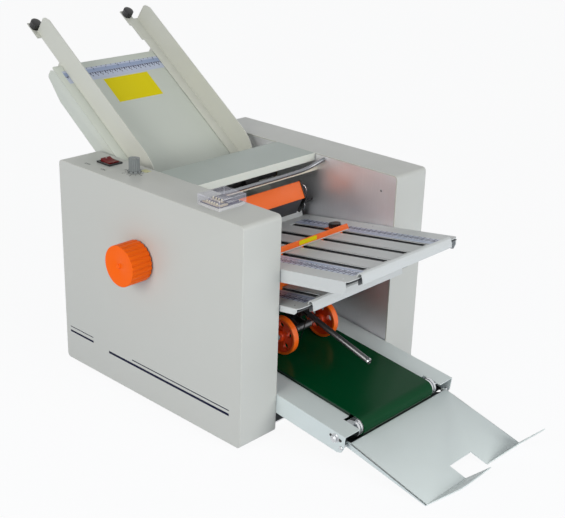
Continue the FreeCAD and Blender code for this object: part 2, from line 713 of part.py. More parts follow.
def bottom_sheet(length, half, screws, lip):
    low = "-plate_sheet - plate_channel"
    rail = half + " - plate_sheet - 0.2"
    parts = [box("0", length + " - 2", "-(%s)" % rail, rail, low + " - plate_sheet", low),
             box("0", length + " - 10", "-(%s)" % rail, "-107", low, "-plate_sheet"),
             box("0", length + " - 10", "107", rail, low, "-plate_sheet")]
    if lip:
        parts.append(box(length + " - 3.2", length + " - 2", "-lip_half_width", "lip_half_width", "-11", low))
    holes = [cyl_z(x, y, "1.2", low + " - plate_sheet + 0.1", "1") for x, y in screw_spots(length, screws)]
    return cut(fuse(*parts), *(slots(length) + holes))


node("upper_plate_top", on_front(top_sheet("upper_plate_length", "front_plate_half", "19", 6), "upper_plate_z"))
node("upper_plate_bottom", on_front(bottom_sheet("upper_plate_length", "front_plate_half", 6, True), "upper_plate_z"))
node("lower_plate_top", on_front(top_sheet("lower_plate_length", "front_plate_half", "9", 6), "lower_plate_z"))
node("lower_plate_bottom", on_front(bottom_sheet("lower_plate_length", "front_plate_half", 6, True), "lower_plate_z"))


def cassette(length, half):
    low = "-plate_sheet - plate_channel"
    parts = [box("0", length, "-" + half, half, "-plate_sheet", "0"),
             box("0", length, "-" + half, half, low + " - plate_sheet", low),
             box("0", length, "-" + half, "-107", low, "-plate_sheet"),
             box("0", length, "107", half, low, "-plate_sheet")]
    return cut(fuse(*parts), *slots(length))


node("upper_rear_plate", on_rear(cassette("rear_plate_length", "rear_plate_half"), "upper_rear_z"))
node("lower_rear_plate", on_rear(cassette("rear_plate_length", "rear_plate_half"), "lower_rear_z"))


def mount(half, z0, z1, x0, x1):
    return group(box(x0, x1, "-inner", "-" + half, z0, z1), box(x0, x1, half, "inner", z0, z1))


mounts = [tilt(mount("front_plate_half", "-17", "-7", "62", "122"), "-plate_rise", "plate_x", "0", "upper_plate_z"),
          tilt(mount("front_plate_half", "-8", "-2", "62", "122"), "-plate_rise", "plate_x", "0", "lower_plate_z")]
for height in ("upper_rear_z", "lower_rear_z"):
    g = mount("rear_plate_half", "-4.8", "0", "30", "90")
    g.Placement = FreeCAD.Placement(FreeCAD.Vector(), FreeCAD.Rotation(FreeCAD.Vector(0.1, 0, 1), 180))
    bind(g, "Placement.Rotation.Axis.x", "sin(plate_rise / 2)")
    bind(g, "Placement.Rotation.Axis.z", "cos(plate_rise / 2)")
    mounts.append(at(g, "rear_plate_x", "0", height))
mounts.append(tilt(mount("table_half_width", "-9", "-3", "-150", "-90"), "table_angle", "table_datum_x", "0", "table_datum_z"))
node("plate_mounts", on_machine(group(*mounts)))


def plate_screw(x, y):
    return fuse(cyl_z(x, y, "2.6", "0", "1.4"), cyl_z(x, y, "1.2", "-4", "0.5"))


screws = []
for length, height in (("upper_plate_length", "upper_plate_z"), ("lower_plate_length", "lower_plate_z")):
    g = group(*[plate_screw(x, y) for x, y in screw_spots(length, 6)])
    screws.append(tilt(g, "-plate_rise", "plate_x", "0", height))
for x, z in BOSSES:
    screws.append(fuse(cyl_y(x, z, "screw_radius", "-(frame_out + 9)", "-inner"),
                       cyl_y(x, z, "screw_radius * 2", "-inner", "-(inner - 2)")))
    screws.append(fuse(cyl_y(x, z, "screw_radius", "inner", "frame_out + 9"),
                       cyl_y(x, z, "screw_radius * 2", "inner - 2", "inner")))
node("machine_screws", on_machine(group(*screws)))

tapes = [tilt(group(*[box("22", length + " - 12", y0, y1, "0", "0.3") for y0, y1 in (("-98", "-73.5"), ("73.5", "98"))]),
              "-plate_rise", "plate_x", "0", height)
         for length, height in (("upper_plate_length", "upper_plate_z"), ("lower_plate_length", "lower_plate_z"))]
tapes.append(tilt(group(box("-table_top_end + 11", "-table_top_end + 38", "-108", "108", "0", "0.3")),
                  "table_angle", "table_datum_x", "0", "table_datum_z"))
node("ruler_tapes", on_machine(group(*tapes)))


def stop_bar(tab):
    base = "0.3 + body_gap"
    parts = [box("stop_place - 21", "stop_place", "-95", "95", base, base + " + 1.5"),
             box("stop_place - 1.5", "stop_place", "-95", "95", base, "12")]
    parts += [box("stop_place - 1.5", "stop_place", "(%s) * slot_pitch - 3.6" % k, "(%s) * slot_pitch + 3.6" % k,
                  "-plate_sheet - plate_channel + 0.4", "2") for k in ("-1.5", "-0.5", "0.5", "1.5")]
    if tab:
        parts.append(box("stop_place - 33", "stop_place - 20", "64", "88", base, base + " + 1.5"))
        return cut(fuse(*parts), cyl_z("stop_place - 22", "76", "2.5 + running_gap", "0", "4"))
    return fuse(*parts)


node("upper_front_stop", on_front(stop_bar(True), "upper_plate_z"))
node("lower_front_stop", on_front(stop_bar(False), "lower_plate_z"))
node("upper_rear_stop", on_rear(stop_bar(False), "upper_rear_z"))
node("lower_rear_stop", on_rear(stop_bar(False), "lower_rear_z"))
node("upper_stop_knob", on_front(lock_knob("stop_place - 22", "76", "2.2 + body_gap"), "upper_plate_z"))

# ---------------------------------------------------------------- controls
node("switch_housing", on_machine(cut(
    fuse(box("switch_x - 15.5", "switch_x + 15.5", "-switch_y - 12.5", "-switch_y + 12.5", "machine_height", "machine_height + 2.5"),
         box("switch_x - 13.5", "switch_x + 13.5", "-switch_y - 11.5", "-switch_y + 11.5", "machine_height - 22", "machine_height")),
    box("switch_x - 12.5", "switch_x + 12.5", "-switch_y - 9.5", "-switch_y + 9.5", "machine_height - 12", "machine_height + 4"),
    cyl_y("switch_x", "machine_height - 2", "rocker_pin + running_gap", "-switch_y - 10.6", "-switch_y + 10.6"))))
rocker = prism_y([("-11.3", "6"), ("-8.5", "-5"), ("8.5", "-5"), ("11.3", "6"), ("6", "4.2"), ("0", "3.4"), ("-6", "4.2")], "-9", "9")
rocker = fuse(rocker, cyl_y("0", "0", "rocker_pin", "-10.4", "10.4"))
node("switch_rocker", tilt(rocker, "7", "datum_x + switch_x", "centre_y - switch_y", "machine_height - 2"))
node("speed_knob", at(fuse(
    cyl_z("0", "0", "10", "body_gap", "3"), cyl_z("0", "0", "8", "2.5", "21"), cyl_z("0", "0", "6.8", "20", "22"),
    box("-0.8", "9.4", "-0.8", "0.8", "2", "3.8"), cyl_z("0", "0", "3", "-14", "1")),
    "datum_x + speed_x", "centre_y - speed_y", "machine_height"))
node("control_board", on_machine(cut(fuse(
    box("speed_x - 11", "speed_x + 11", "-speed_y - 9", "-speed_y + 9", "machine_height - 16", "machine_height - cover_wall"),
    box("speed_x - 45", "speed_x + 30", "-speed_y - 26", "-speed_y + 10", "machine_height - 18", "machine_height - 16"),
    box("speed_x - 40", "speed_x - 22", "-speed_y - 22", "-speed_y - 6", "machine_height - 30", "machine_height - 17")),
    cyl_z("speed_x", "-speed_y", "3 + running_gap", "machine_height - 15", "machine_height"))))
node("counter_base", on_machine(fuse(
    box("counter_x - 22", "counter_x + 22", "-counter_y - 25.5", "-counter_y + 25.5", "machine_height", "machine_height + 3.5"),
    box("counter_x - 17", "counter_x + 17", "-counter_y - 20.5", "-counter_y + 20.5", "machine_height + 3", "machine_height + 6"),
    box("counter_x - 12", "counter_x - 3", "-counter_y - 14", "-counter_y + 14", "machine_height + 5.5", "machine_height + 8"),
    box("counter_x + 2", "counter_x + 12", "-counter_y - 16", "-counter_y + 16", "machine_height + 5.5", "machine_height + 7"))))
node("counter_cover", on_machine(cut(
    box("counter_x - 20.5", "counter_x + 20.5", "-counter_y - 24", "-counter_y + 24", "machine_height + 3.5", "machine_height + 14"),
    box("counter_x - 19", "counter_x + 19", "-counter_y - 22.5", "-counter_y + 22.5", "machine_height + 3", "machine_height + 12.5"))))

# ---------------------------------------------------------------- delivery


def rail(sign):
    edge = [("-rail_rear", "0"), ("rail_front", "0"), ("rail_front", "-rail_depth + 10"),
            ("rail_front - 3", "-rail_depth + 3"), ("rail_front - 10", "-rail_depth"), ("-rail_rear", "-rail_depth")]
    if sign < 0:
        wall = prism_y(edge, "-rail_half", "-rail_half + 1.5")
        lip = box("-rail_rear", "rail_front", "-rail_half", "-rail_inner", "-1.5", "0")
        notch = box("conveyor_end_ahead - 15", "rail_front + 1", "-94", "-70", "-3", "1")
    else:
        wall = prism_y(edge, "rail_half - 1.5", "rail_half")
        lip = box("-rail_rear", "rail_front", "rail_inner", "rail_half", "-1.5", "0")
        notch = box("conveyor_end_ahead - 15", "rail_front + 1", "70", "94", "-3", "1")
    return fuse(wall, lip), notch


near_rail, near_notch = rail(-1)
far_rail, far_notch = rail(1)
bed = [box("-conveyor_drive_back + 15", "conveyor_end_ahead - 15", "-belt_half + 2", "belt_half - 2", "1.6", "3.1")]
for x in ("-120", "30"):
    bed.append(box(x, "%s + 10" % x, "-rail_half + 1", "rail_half - 1", "-8", "-2.5"))
    bed.append(box(x, "%s + 10" % x, "-belt_half + 2", "belt_half - 2", "-3", "2"))
frame = cut(fuse(near_rail, far_rail, *bed), near_notch, far_notch,
            cyl_y("-conveyor_drive_back", "-conveyor_axis_drop", "journal_radius + 1", "-130", "130"),
            cyl_y("conveyor_end_ahead", "-conveyor_axis_drop", "4", "-130", "130"),
            cyl_y("-60", "-18", "3", "-130", "-110"), cyl_y("-60", "-18", "3", "110", "130"),
            cyl_y("-220", "-20", "3", "-130", "-110"), cyl_y("-220", "-20", "3", "110", "130"),
            cyl_y("tray_pin_ahead", "-tray_pin_drop", "tray_pin_radius", "-130", "130"))
node("conveyor_frame", on_conveyor(frame))


def capsule(xa, xb, z, r, y0, y1):
    return fuse(box(xa, xb, y0, y1, "(%s) - (%s)" % (z, r), "(%s) + (%s)" % (z, r)),
                cyl_y(xa, z, r, y0, y1), cyl_y(xb, z, r, y0, y1))


belt = cut(capsule("-conveyor_drive_back", "conveyor_end_ahead", "-conveyor_axis_drop", "conveyor_roller_radius + belt_thickness", "-belt_half", "belt_half"),
           capsule("-conveyor_drive_back", "conveyor_end_ahead", "-conveyor_axis_drop", "conveyor_roller_radius + running_gap", "-belt_half - 1", "belt_half + 1"))
node("conveyor_belt", on_conveyor(belt))
drum = fuse(cyl_y("-conveyor_drive_back", "-conveyor_axis_drop", "conveyor_roller_radius", "-belt_half - 1", "belt_half + 1"),
            cyl_y("-conveyor_drive_back", "-conveyor_axis_drop", "journal_radius", "-frame_out - 2", "frame_out + 10"),
            cyl_y("-conveyor_drive_back", "-conveyor_axis_drop", "small_pulley_radius", "frame_out + 4", "frame_out + 9"))
node("belt_drive_roller", on_conveyor(drum))
ends = [cyl_y("conveyor_end_ahead", "-conveyor_axis_drop", "conveyor_roller_radius", "-belt_half", "belt_half")]
for a, b, r in (("belt_half", "belt_half + 3", "conveyor_roller_radius - 2"), ("belt_half + 2.5", "belt_half + 6", "conveyor_roller_radius"),
                ("belt_half + 5.5", "belt_half + 9", "conveyor_roller_radius - 2.5"), ("belt_half + 8.5", "belt_half + 12", "conveyor_roller_radius")):
    ends.append(cyl_y("conveyor_end_ahead", "-conveyor_axis_drop", r, a, b))
    ends.append(cyl_y("conveyor_end_ahead", "-conveyor_axis_drop", r, "-(%s)" % b, "-(%s)" % a))
drum = cut(fuse(*ends),
           cyl_y("conveyor_end_ahead", "-conveyor_axis_drop", "4 + running_gap", "-(belt_half + 20)", "-(belt_half - 8)"),
           cyl_y("conveyor_end_ahead", "-conveyor_axis_drop", "4 + running_gap", "belt_half - 8", "belt_half + 20"))
node("belt_end_roller", on_conveyor(drum))
bolts = []
for s in (-1, 1):
    def both(a, b):
        return ("-(%s)" % b, "-(%s)" % a) if s < 0 else (a, b)
    for x, z in (("-60", "-18"), ("-220", "-20")):
        bolts.append(fuse(cyl_y(x, z, "3", *both("rail_half - 1.5", "inner")),
                          cyl_y(x, z, "6", *both("rail_half", "inner")),
                          cyl_y(x, z, "5", *both("rail_half - 4.5", "rail_half - 1.5"))))
    shank = fuse(cyl_y("conveyor_end_ahead", "-conveyor_axis_drop", "4", *both("belt_half - 6", "rail_half + 1")),
                 cyl_y("conveyor_end_ahead", "-conveyor_axis_drop", "6.5", *both("rail_half", "rail_half + 4")))
    a, b = both("rail_half + 2.5", "rail_half + 5")
    bolts.append(cut(shank, box("conveyor_end_ahead - 8", "conveyor_end_ahead + 8", a, b, "-conveyor_axis_drop - 0.8", "-conveyor_axis_drop + 0.8")))
    bolts.append(fuse(cyl_y("tray_pin_ahead", "-tray_pin_drop", "tray_pin_radius", *both("tray_half - 4", "rail_half + 0.5")),
                      cyl_y("tray_pin_ahead", "-tray_pin_drop", "tray_pin_radius + 1.2", *both("rail_half", "rail_half + 1.5"))))
node("conveyor_bolts", on_conveyor(group(*bolts)))

node("wheel_rod", on_rod(fuse(cyl_x("0", "0", "rod_radius", "-rod_rear", "rod_front - 1"),
                              cyl_x("0", "0", "rod_radius - 0.8", "rod_front - 2", "rod_front"))))
block = prism_y([("-26", "8"), ("-29", "3"), ("-31", "-18"), ("-31", "-29"), ("-27", "-33"), ("-20", "-33"), ("-16.5", "-29"),
                 ("-15", "-12"), ("-11", "-8"), ("0", "-8"), ("0", "6"), ("-4", "8")], "-5", "5")
sleeve = fuse(box("-26", "0", "-9", "9", "-8", "8"), box("-29", "-17", "-26", "-8", "0", "7"),
              cyl_y("-23", "3.5", "5.5", "-28", "-24"), block)
wire = fuse(cyl_x("-7", "3", "1", "-1", "11"), cyl_z("11", "-7", "0.8", "-43", "3"))
sleeve = cut(fuse(sleeve, wire), cyl_x("0", "0", "rod_radius + running_gap", "-60", "20"))
pin_x = "(arm_pivot_x - rod_x) * cos(rod_slope) - (arm_pivot_z - rod_z) * sin(rod_slope)"
pin_z = "(arm_pivot_x - rod_x) * sin(rod_slope) + (arm_pivot_z - rod_z) * cos(rod_slope)"
node("wheel_carriage", on_rod(fuse(sleeve, cyl_y(pin_x, pin_z, "2.5", "-11", "11"), cyl_y(pin_x, pin_z, "4.5", "-11.5", "-9.4"),
                                   cyl_y(pin_x, pin_z, "4.5", "9.4", "11.5"))))


def arm_side(y0, y1):
    return hull("arm_pivot_x", "arm_pivot_z", "5.5", "wheel_x", "wheel_z", "6", y0, y1)


arm = cut(fuse(arm_side("-9", "-5.4"), arm_side("5.4", "9"), cyl_y("wheel_x", "wheel_z", "6", "-16", "16")),
          cyl_y("wheel_x", "wheel_z", "axle_radius", "-20", "20"),
          cyl_y("arm_pivot_x", "arm_pivot_z", "2.5 + running_gap", "-20", "20"))
node("wheel_arm", on_machine(arm))
node("wheel_axle", on_machine(fuse(
    cyl_y("wheel_x", "wheel_z", "axle_radius", "-(wheel_apart + 10)", "wheel_apart + 10"),
    cyl_y("wheel_x", "wheel_z", "5", "-(wheel_apart + 10)", "-(wheel_apart + 8.4)"),
    cyl_y("wheel_x", "wheel_z", "5", "wheel_apart + 8.4", "wheel_apart + 10"),
    cyl_y("wheel_x", "wheel_z", "5", "-(wheel_apart - 9.4)", "-(wheel_apart - 11)"),
    cyl_y("wheel_x", "wheel_z", "5", "wheel_apart - 11", "wheel_apart - 9.4"))))


def wheel(a):
    body = add("PartDesign::Body")
    half = "wheel_width / 2"
    rimmed = sketch_on(body, "XZ_Plane", "-(%s) - %s" % (a, half))
    ring_of(rimmed, "0", "0", "wheel_radius")
    ring_of(rimmed, "0", "0", "wheel_radius - 3.5")
    pad_of(body, rimmed, "wheel_width")
    web = sketch_on(body, "XZ_Plane", "-(%s) - 2" % a)
    ring_of(web, "0", "0", "wheel_radius - 3")
    ring_of(web, "0", "0", "axle_radius + running_gap")
    pad_of(body, web, "4")
    hub = sketch_on(body, "XZ_Plane", "-(%s) - 8" % a)
    ring_of(hub, "0", "0", "8.5")
    ring_of(hub, "0", "0", "axle_radius + running_gap")
    pad_of(body, hub, "16")
    hole = sketch_on(body, "XZ_Plane", "-(%s) - 2" % a)
    ring_of(hole, "17.5", "0", "5")
    pocket = body.newObject("PartDesign::Pocket", "Hole")
    pocket.Profile = hole
    pocket.Type = 1
    pocket.Midplane = True
    ring = body.newObject("PartDesign::PolarPattern", "Holes")
    ring.Originals = [pocket]
    ring.Axis = (hole, ["N_Axis"])
    ring.Angle = 360
    ring.Occurrences = 5
    body.Tip = ring
    return at(body, "wheel_x", "0", "wheel_z")


node("delivery_wheels", on_machine(group(wheel("-wheel_apart"), wheel("wheel_apart"))))

tray_edge = [("7", "-tray_half"), ("tray_length", "-tray_half"), ("tray_length", "-22"), ("tray_length - 28.5", "-22"),
             ("tray_length - 28.5", "30"), ("tray_length", "30"), ("tray_length", "tray_half"), ("7", "tray_half")]
tray_side = [("-0.5", "-2.5"), ("1.5", "-0.7"), ("7", "0"), ("tray_length", "0"), ("tray_length", "-3"), ("5", "-9.6"), ("0.8", "-9"), ("-0.5", "-7")]


def ear_flap(y0, y1):
    body = add("PartDesign::Body")
    sk = sketch_on(body, "XY_Plane", "-tray_sheet")
    outline(sk, [("-1.5", y0), ("-1.5", y1), ("54", y1), ("53", "(%s) - 3" % y1), ("20", "(%s) - 18" % y1), ("10", "(%s) - 42" % y1)])
    pad_of(body, sk, "tray_sheet")
    return tilt(body, "-64", "tray_length", "0", "0")


tray = fuse(prism_z(tray_edge, "-tray_sheet", "0"), prism_y(tray_side, "-tray_half", "-tray_half + tray_sheet"),
            prism_y(tray_side, "tray_half - tray_sheet", "tray_half"), ear_flap("-tray_half", "-22"), ear_flap("30", "tray_half"))
tray_pin_x = "(conveyor_x + tray_pin_ahead * cos(conveyor_slope) - tray_pin_drop * sin(conveyor_slope) - tray_x)"
tray_pin_z = "(conveyor_z - tray_pin_ahead * sin(conveyor_slope) - tray_pin_drop * cos(conveyor_slope) - tray_z)"
tray = cut(tray, cyl_y("%s * cos(tray_slope) - %s * sin(tray_slope)" % (tray_pin_x, tray_pin_z),
                       "%s * sin(tray_slope) + %s * cos(tray_slope)" % (tray_pin_x, tray_pin_z),
                       "tray_pin_radius + running_gap", "-tray_half - 1", "tray_half + 1"))
node("catch_tray", on_tray(tray))

# ---------------------------------------------------------------- write
doc.recompute()
bad = [o.Label for o in doc.Objects if "Invalid" in o.State or "Error" in o.State]
if bad:
    raise RuntimeError("not built: " + ", ".join(bad))
os.makedirs("parts", exist_ok=True)
for obj in NODES:
    shape = obj.Shape
    if shape.isNull() or not shape.isValid() or not shape.Solids:
        raise RuntimeError("no sound solid: " + obj.Label)
    shape.exportStep("parts/%s.step" % obj.Label)
    low = shape.BoundBox
    print("%-20s solids %2d  x %7.1f %7.1f  y %7.1f %7.1f  z %6.1f %6.1f" % (
        obj.Label, len(shape.Solids), low.XMin, low.XMax, low.YMin, low.YMax, low.ZMin, low.ZMax))
print(len(NODES), "nodes")
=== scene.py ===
import bmesh
import bpy
import math
from mathutils import Matrix, Vector


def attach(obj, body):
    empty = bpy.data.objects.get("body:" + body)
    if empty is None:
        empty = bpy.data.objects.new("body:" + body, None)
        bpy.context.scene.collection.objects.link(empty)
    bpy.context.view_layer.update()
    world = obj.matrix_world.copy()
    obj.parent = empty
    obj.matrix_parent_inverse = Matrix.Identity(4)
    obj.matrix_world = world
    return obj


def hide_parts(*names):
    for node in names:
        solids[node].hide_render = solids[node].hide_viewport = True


# The dressed paper folding machine: camera, finishes and studio, then the pieces
# that take the place of plain solids or are too small for them. Lengths in
# finishes are in micrometres (peel) and millimetres (edge), in pieces in
# millimetres, colours in 0 to 255.

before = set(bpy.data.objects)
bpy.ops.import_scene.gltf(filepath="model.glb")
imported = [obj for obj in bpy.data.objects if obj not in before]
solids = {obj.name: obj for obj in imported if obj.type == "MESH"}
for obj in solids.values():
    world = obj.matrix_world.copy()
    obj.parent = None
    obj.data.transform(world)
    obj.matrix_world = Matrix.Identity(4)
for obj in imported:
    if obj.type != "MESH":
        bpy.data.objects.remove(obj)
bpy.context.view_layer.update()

MM = 0.001
MICRON = 0.000001
# y of the machine's own middle plane
MIDDLE = 19.8


# ---- camera
SENSOR_WIDTH = 36


def spun(degrees, axis):
    return Matrix.Rotation(math.radians(degrees), 4, axis)


def stand_camera(place, azimuth, rise, roll, lens):
    a, e, r = (math.radians(v) for v in (azimuth, rise, roll))
    right = Vector((math.cos(a), math.sin(a), 0))
    back = Vector((math.sin(a) * math.cos(e), -math.cos(a) * math.cos(e), math.sin(e)))
    up = back.cross(right)
    across = right * math.cos(r) + up * math.sin(r)
    upward = up * math.cos(r) - right * math.sin(r)
    eye = bpy.data.cameras.new("bench_camera")
    eye.lens = lens
    eye.sensor_width = SENSOR_WIDTH
    eye.sensor_fit = "HORIZONTAL"
    eye.clip_end = 60
    stand = bpy.data.objects.new("bench_camera", eye)
    bpy.context.scene.collection.objects.link(stand)
    turn = Matrix((across, upward, back)).transposed().to_4x4()
    stand.matrix_world = Matrix.Translation(place) @ turn
    bpy.context.scene.camera = stand


stand_camera((1.0923, -1.1217, 0.8358), 42.7669, 21.9869, 1.8266, 70.115)
bpy.context.scene.view_settings.view_transform = "Standard"


# ---- node work
def ink(red, green, blue):
    steps = []
    for value in (red / 255, green / 255, blue / 255):
        steps.append(value / 12.92 if value < 0.04 else ((value + 0.055) / 1.055) ** 2.4)
    return (*steps, 1)


def lay(tree, kind, sockets=None, **settings):
    node = tree.nodes.new("ShaderNode" + kind)
    for key, value in settings.items():
        setattr(node, key, value)
    for key, value in (sockets or {}).items():
        if isinstance(value, bpy.types.NodeSocket):
            tree.links.new(value, node.inputs[key])
        else:
            node.inputs[key].default_value = value
    return node


def sums(tree, operation, first, second=0.0, clamp=False):
    sockets = {0: first, 1: second}
    return lay(tree, "Math", sockets, operation=operation, use_clamp=clamp).outputs[0]


def spread(tree, value, low, high, bottom=0.0, top=1.0):
    return lay(tree, "MapRange", {0: value, 1: low, 2: high, 3: bottom, 4: top}).outputs[0]


def blend_of(tree, share, first, second):
    sockets = {0: share, 6: first, 7: second}
    return lay(tree, "Mix", sockets, data_type="RGBA").outputs[2]


def effect(name, takes, gives):
    """a node group, its inputs as sockets to read and its outputs as sockets to feed"""
    group = bpy.data.node_groups.new(name, "ShaderNodeTree")
    add = group.interface.new_socket
    for label, kind, value in takes:
        add(name=label, in_out="INPUT", socket_type="NodeSocket" + kind).default_value = value
    for label, kind in gives:
        add(name=label, in_out="OUTPUT", socket_type="NodeSocket" + kind)
    return group, group.nodes.new("NodeGroupInput").outputs, group.nodes.new("NodeGroupOutput").inputs


WHITE = (1, 1, 1, 1)
PAINTED = ("Colour", "Color", WHITE)
COLOUR, MASK, HEIGHT_OUT = ("Colour", "Color"), ("Mask", "Float"), ("Height", "Float")


def speckle(tree, size, detail=2.0, stretch=None):
    where = lay(tree, "TexCoord").outputs["Object"]
    if stretch is not None:
        where = lay(tree, "VectorMath", {0: where, 1: stretch}, operation="MULTIPLY").outputs[0]
    return lay(tree, "TexNoise", {"Vector": where, "Scale": size, "Detail": detail}).outputs["Fac"]


# paint that is a shade lighter here and darker there
drift, taken, given = effect("paint_drift", [PAINTED, ("Amount", "Float", 0.04), ("Size", "Float", 7.0)],
                             [COLOUR])
level = sums(drift, "SUBTRACT", speckle(drift, taken["Size"], 3.0), 0.5)
level = sums(drift, "MULTIPLY", level, taken["Amount"])
level = sums(drift, "ADD", sums(drift, "MULTIPLY", level, 2.0), 1.0)
shaded = lay(drift, "HueSaturation", {"Value": level, "Color": taken["Colour"]})
drift.links.new(shaded.outputs[0], given["Colour"])

# edges painted lighter: partly wear from hands and sheets, partly a painted highlight where an edge catches
# the light; and their softened normal
wear_and_highlight_edges, taken, given = effect("edge_wear_and_highlight", [PAINTED, ("Rub", "Color", WHITE), ("Width", "Float", 0.001),
                                           ("Strength", "Float", 0.5)], [COLOUR, MASK, ("Normal", "Vector")])
rounded = lay(wear_and_highlight_edges, "Bevel", {"Radius": taken["Width"]}, samples=4).outputs[0]
flat_way = lay(wear_and_highlight_edges, "NewGeometry").outputs["Normal"]
facing = lay(wear_and_highlight_edges, "VectorMath", {0: rounded, 1: flat_way}, operation="DOT_PRODUCT").outputs["Value"]
mask = spread(wear_and_highlight_edges, sums(wear_and_highlight_edges, "SUBTRACT", 1.0, facing), 0.02, 0.28)
patchy = spread(wear_and_highlight_edges, speckle(wear_and_highlight_edges, 60.0, 3.0), 0.3, 0.62, 0.45, 1.0)
mask = sums(wear_and_highlight_edges, "MULTIPLY", mask, patchy)
mask = sums(wear_and_highlight_edges, "MULTIPLY", mask, taken["Strength"], True)
wear_and_highlight_edges.links.new(blend_of(wear_and_highlight_edges, mask, taken["Colour"], taken["Rub"]), given["Colour"])
wear_and_highlight_edges.links.new(mask, given["Mask"])
wear_and_highlight_edges.links.new(rounded, given["Normal"])

# fine skin: the orange peel of paint, the pebble of moulded plastic
skin, taken, given = effect("fine_skin", [("Size", "Float", 700.0), ("Unevenness", "Float", 0.5)],
                            [HEIGHT_OUT, MASK])
fine = speckle(skin, taken["Size"], 2.0)
broad = speckle(skin, sums(skin, "MULTIPLY", taken["Size"], 0.12), 2.0)
broad = sums(skin, "MULTIPLY", broad, taken["Unevenness"])
skin.links.new(sums(skin, "ADD", fine, broad), given["Height"])
skin.links.new(speckle(skin, 24.0, 4.0), given["Mask"])

# dust that settles on what faces up
dusty, taken, given = effect("settled_dust", [PAINTED, ("Dust", "Color", (0.5, 0.49, 0.46, 1)),
                                              ("Amount", "Float", 0.1)], [COLOUR])
height = lay(dusty, "SeparateXYZ", {0: lay(dusty, "NewGeometry").outputs["Normal"]}).outputs[2]
patchy = spread(dusty, speckle(dusty, 30.0, 5.0), 0.35, 0.75)
fall = sums(dusty, "MULTIPLY", spread(dusty, height, 0.3, 0.95), patchy)
fall = sums(dusty, "MULTIPLY", fall, taken["Amount"], True)
dusty.links.new(blend_of(dusty, fall, taken["Colour"], taken["Dust"]), given["Colour"])

# lines that a brush or a lathe leaves in metal
lined, taken, given = effect("brushed_lines", [PAINTED, ("Stretch", "Vector", (8, 8, 400)),
                                               ("Amount", "Float", 0.2)], [COLOUR, HEIGHT_OUT])
line = speckle(lined, 1.0, 3.0, taken["Stretch"])
cloud = speckle(lined, 9.0, 3.0)
tone = sums(lined, "ADD", sums(lined, "MULTIPLY", line, 0.7), sums(lined, "MULTIPLY", cloud, 0.3))
tone = sums(lined, "MULTIPLY", sums(lined, "SUBTRACT", tone, 0.5), taken["Amount"])
tinted = lay(lined, "HueSaturation", {"Value": sums(lined, "ADD", tone, 1.0), "Color": taken["Colour"]})
lined.links.new(tinted.outputs[0], given["Colour"])
lined.links.new(line, given["Height"])


def use(tree, group, **sockets):
    node = lay(tree, "Group", node_tree=group)
    for key, value in sockets.items():
        if isinstance(value, bpy.types.NodeSocket):
            tree.links.new(value, node.inputs[key])
        else:
            node.inputs[key].default_value = value
    return node.outputs


def empty_material(name):
    made = bpy.data.materials.new(name)
    made.use_nodes = True
    made.node_tree.nodes.clear()
    return made, made.node_tree


COAT_ROUGHNESS = 0.08
ROUGH_SPREAD = 0.12


def finish_of(name, colour, rough, wear_and_highlight, metal=0, gloss=0, drift_by=0.03, peel=30, peel_size=700,
              edge=0.6, dust=0, brushed=None, paint_over=None, shine=None):
    """a finish: rub is the colour painted on its edges, as wear and as a painted highlight, and how much,
    brushed the strokes' stretch and strength
    """
    made, tree = empty_material(name)
    shader = lay(tree, "BsdfPrincipled", {"Metallic": metal, "Coat Weight": gloss,
                                          "Coat Roughness": COAT_ROUGHNESS})
    if shine is not None:
        shader.inputs["Specular IOR Level"].default_value = shine
    tree.links.new(shader.outputs[0], lay(tree, "OutputMaterial").inputs[0])
    tint = use(tree, drift, Colour=ink(*colour), Amount=drift_by)["Colour"]
    bumps = use(tree, skin, Size=peel_size)
    lift = bumps["Height"]
    if brushed:
        strokes = use(tree, lined, Colour=tint, Stretch=brushed[:3], Amount=brushed[3])
        tint, lift = strokes["Colour"], strokes["Height"]
    if paint_over:
        tint = paint_over(tree, tint)
    if dust:
        tint = use(tree, dusty, Colour=tint, Amount=dust)["Colour"]
    # edges take the lighter edge colour: wear and a painted highlight
    worn_and_lit_edges = use(tree, wear_and_highlight_edges, Colour=tint, Rub=ink(*wear_and_highlight[:3]), Width=edge * MM, Strength=wear_and_highlight[3])
    tree.links.new(worn_and_lit_edges["Colour"], shader.inputs["Base Color"])
    sheen = spread(tree, bumps["Mask"], 0.25, 0.75, rough * (1 - ROUGH_SPREAD), rough * (1 + ROUGH_SPREAD))
    tree.links.new(sheen, shader.inputs["Roughness"])
    relief = lay(tree, "Bump", {"Strength": 1.0, "Distance": peel * MICRON, "Height": lift,
                                "Normal": worn_and_lit_edges["Normal"]})
    tree.links.new(relief.outputs[0], shader.inputs["Normal"])
    return made


def between(tree, value, low, high):
    over = sums(tree, "GREATER_THAN", value, low)
    return sums(tree, "MULTIPLY", over, sums(tree, "LESS_THAN", value, high))


def ticks(tree, along, across, low, pitch, reach, thick):
    on_line = sums(tree, "LESS_THAN", sums(tree, "PINGPONG", along, pitch / 2), thick)
    return sums(tree, "MULTIPLY", on_line, between(tree, across, low, low + reach))


# ---- finishes
COVER = finish_of("cover_paint", (199, 200, 195), 0.36, gloss=0.08, shine=0.3, drift_by=0.012, peel=12,
    wear_and_highlight=(244, 242, 234, 0.9), edge=1.6, dust=0.03)


# painted light: faces that point to the front are painted a lighter grey, as if lit by the front lamp
def lighter_front(tree, tint):
    front_facing = lay(tree, "SeparateXYZ", {0: lay(tree, "NewGeometry").outputs["Normal"]}).outputs[0]
    return blend_of(tree, spread(tree, front_facing, 0.45, 0.8), tint, ink(222, 226, 218))
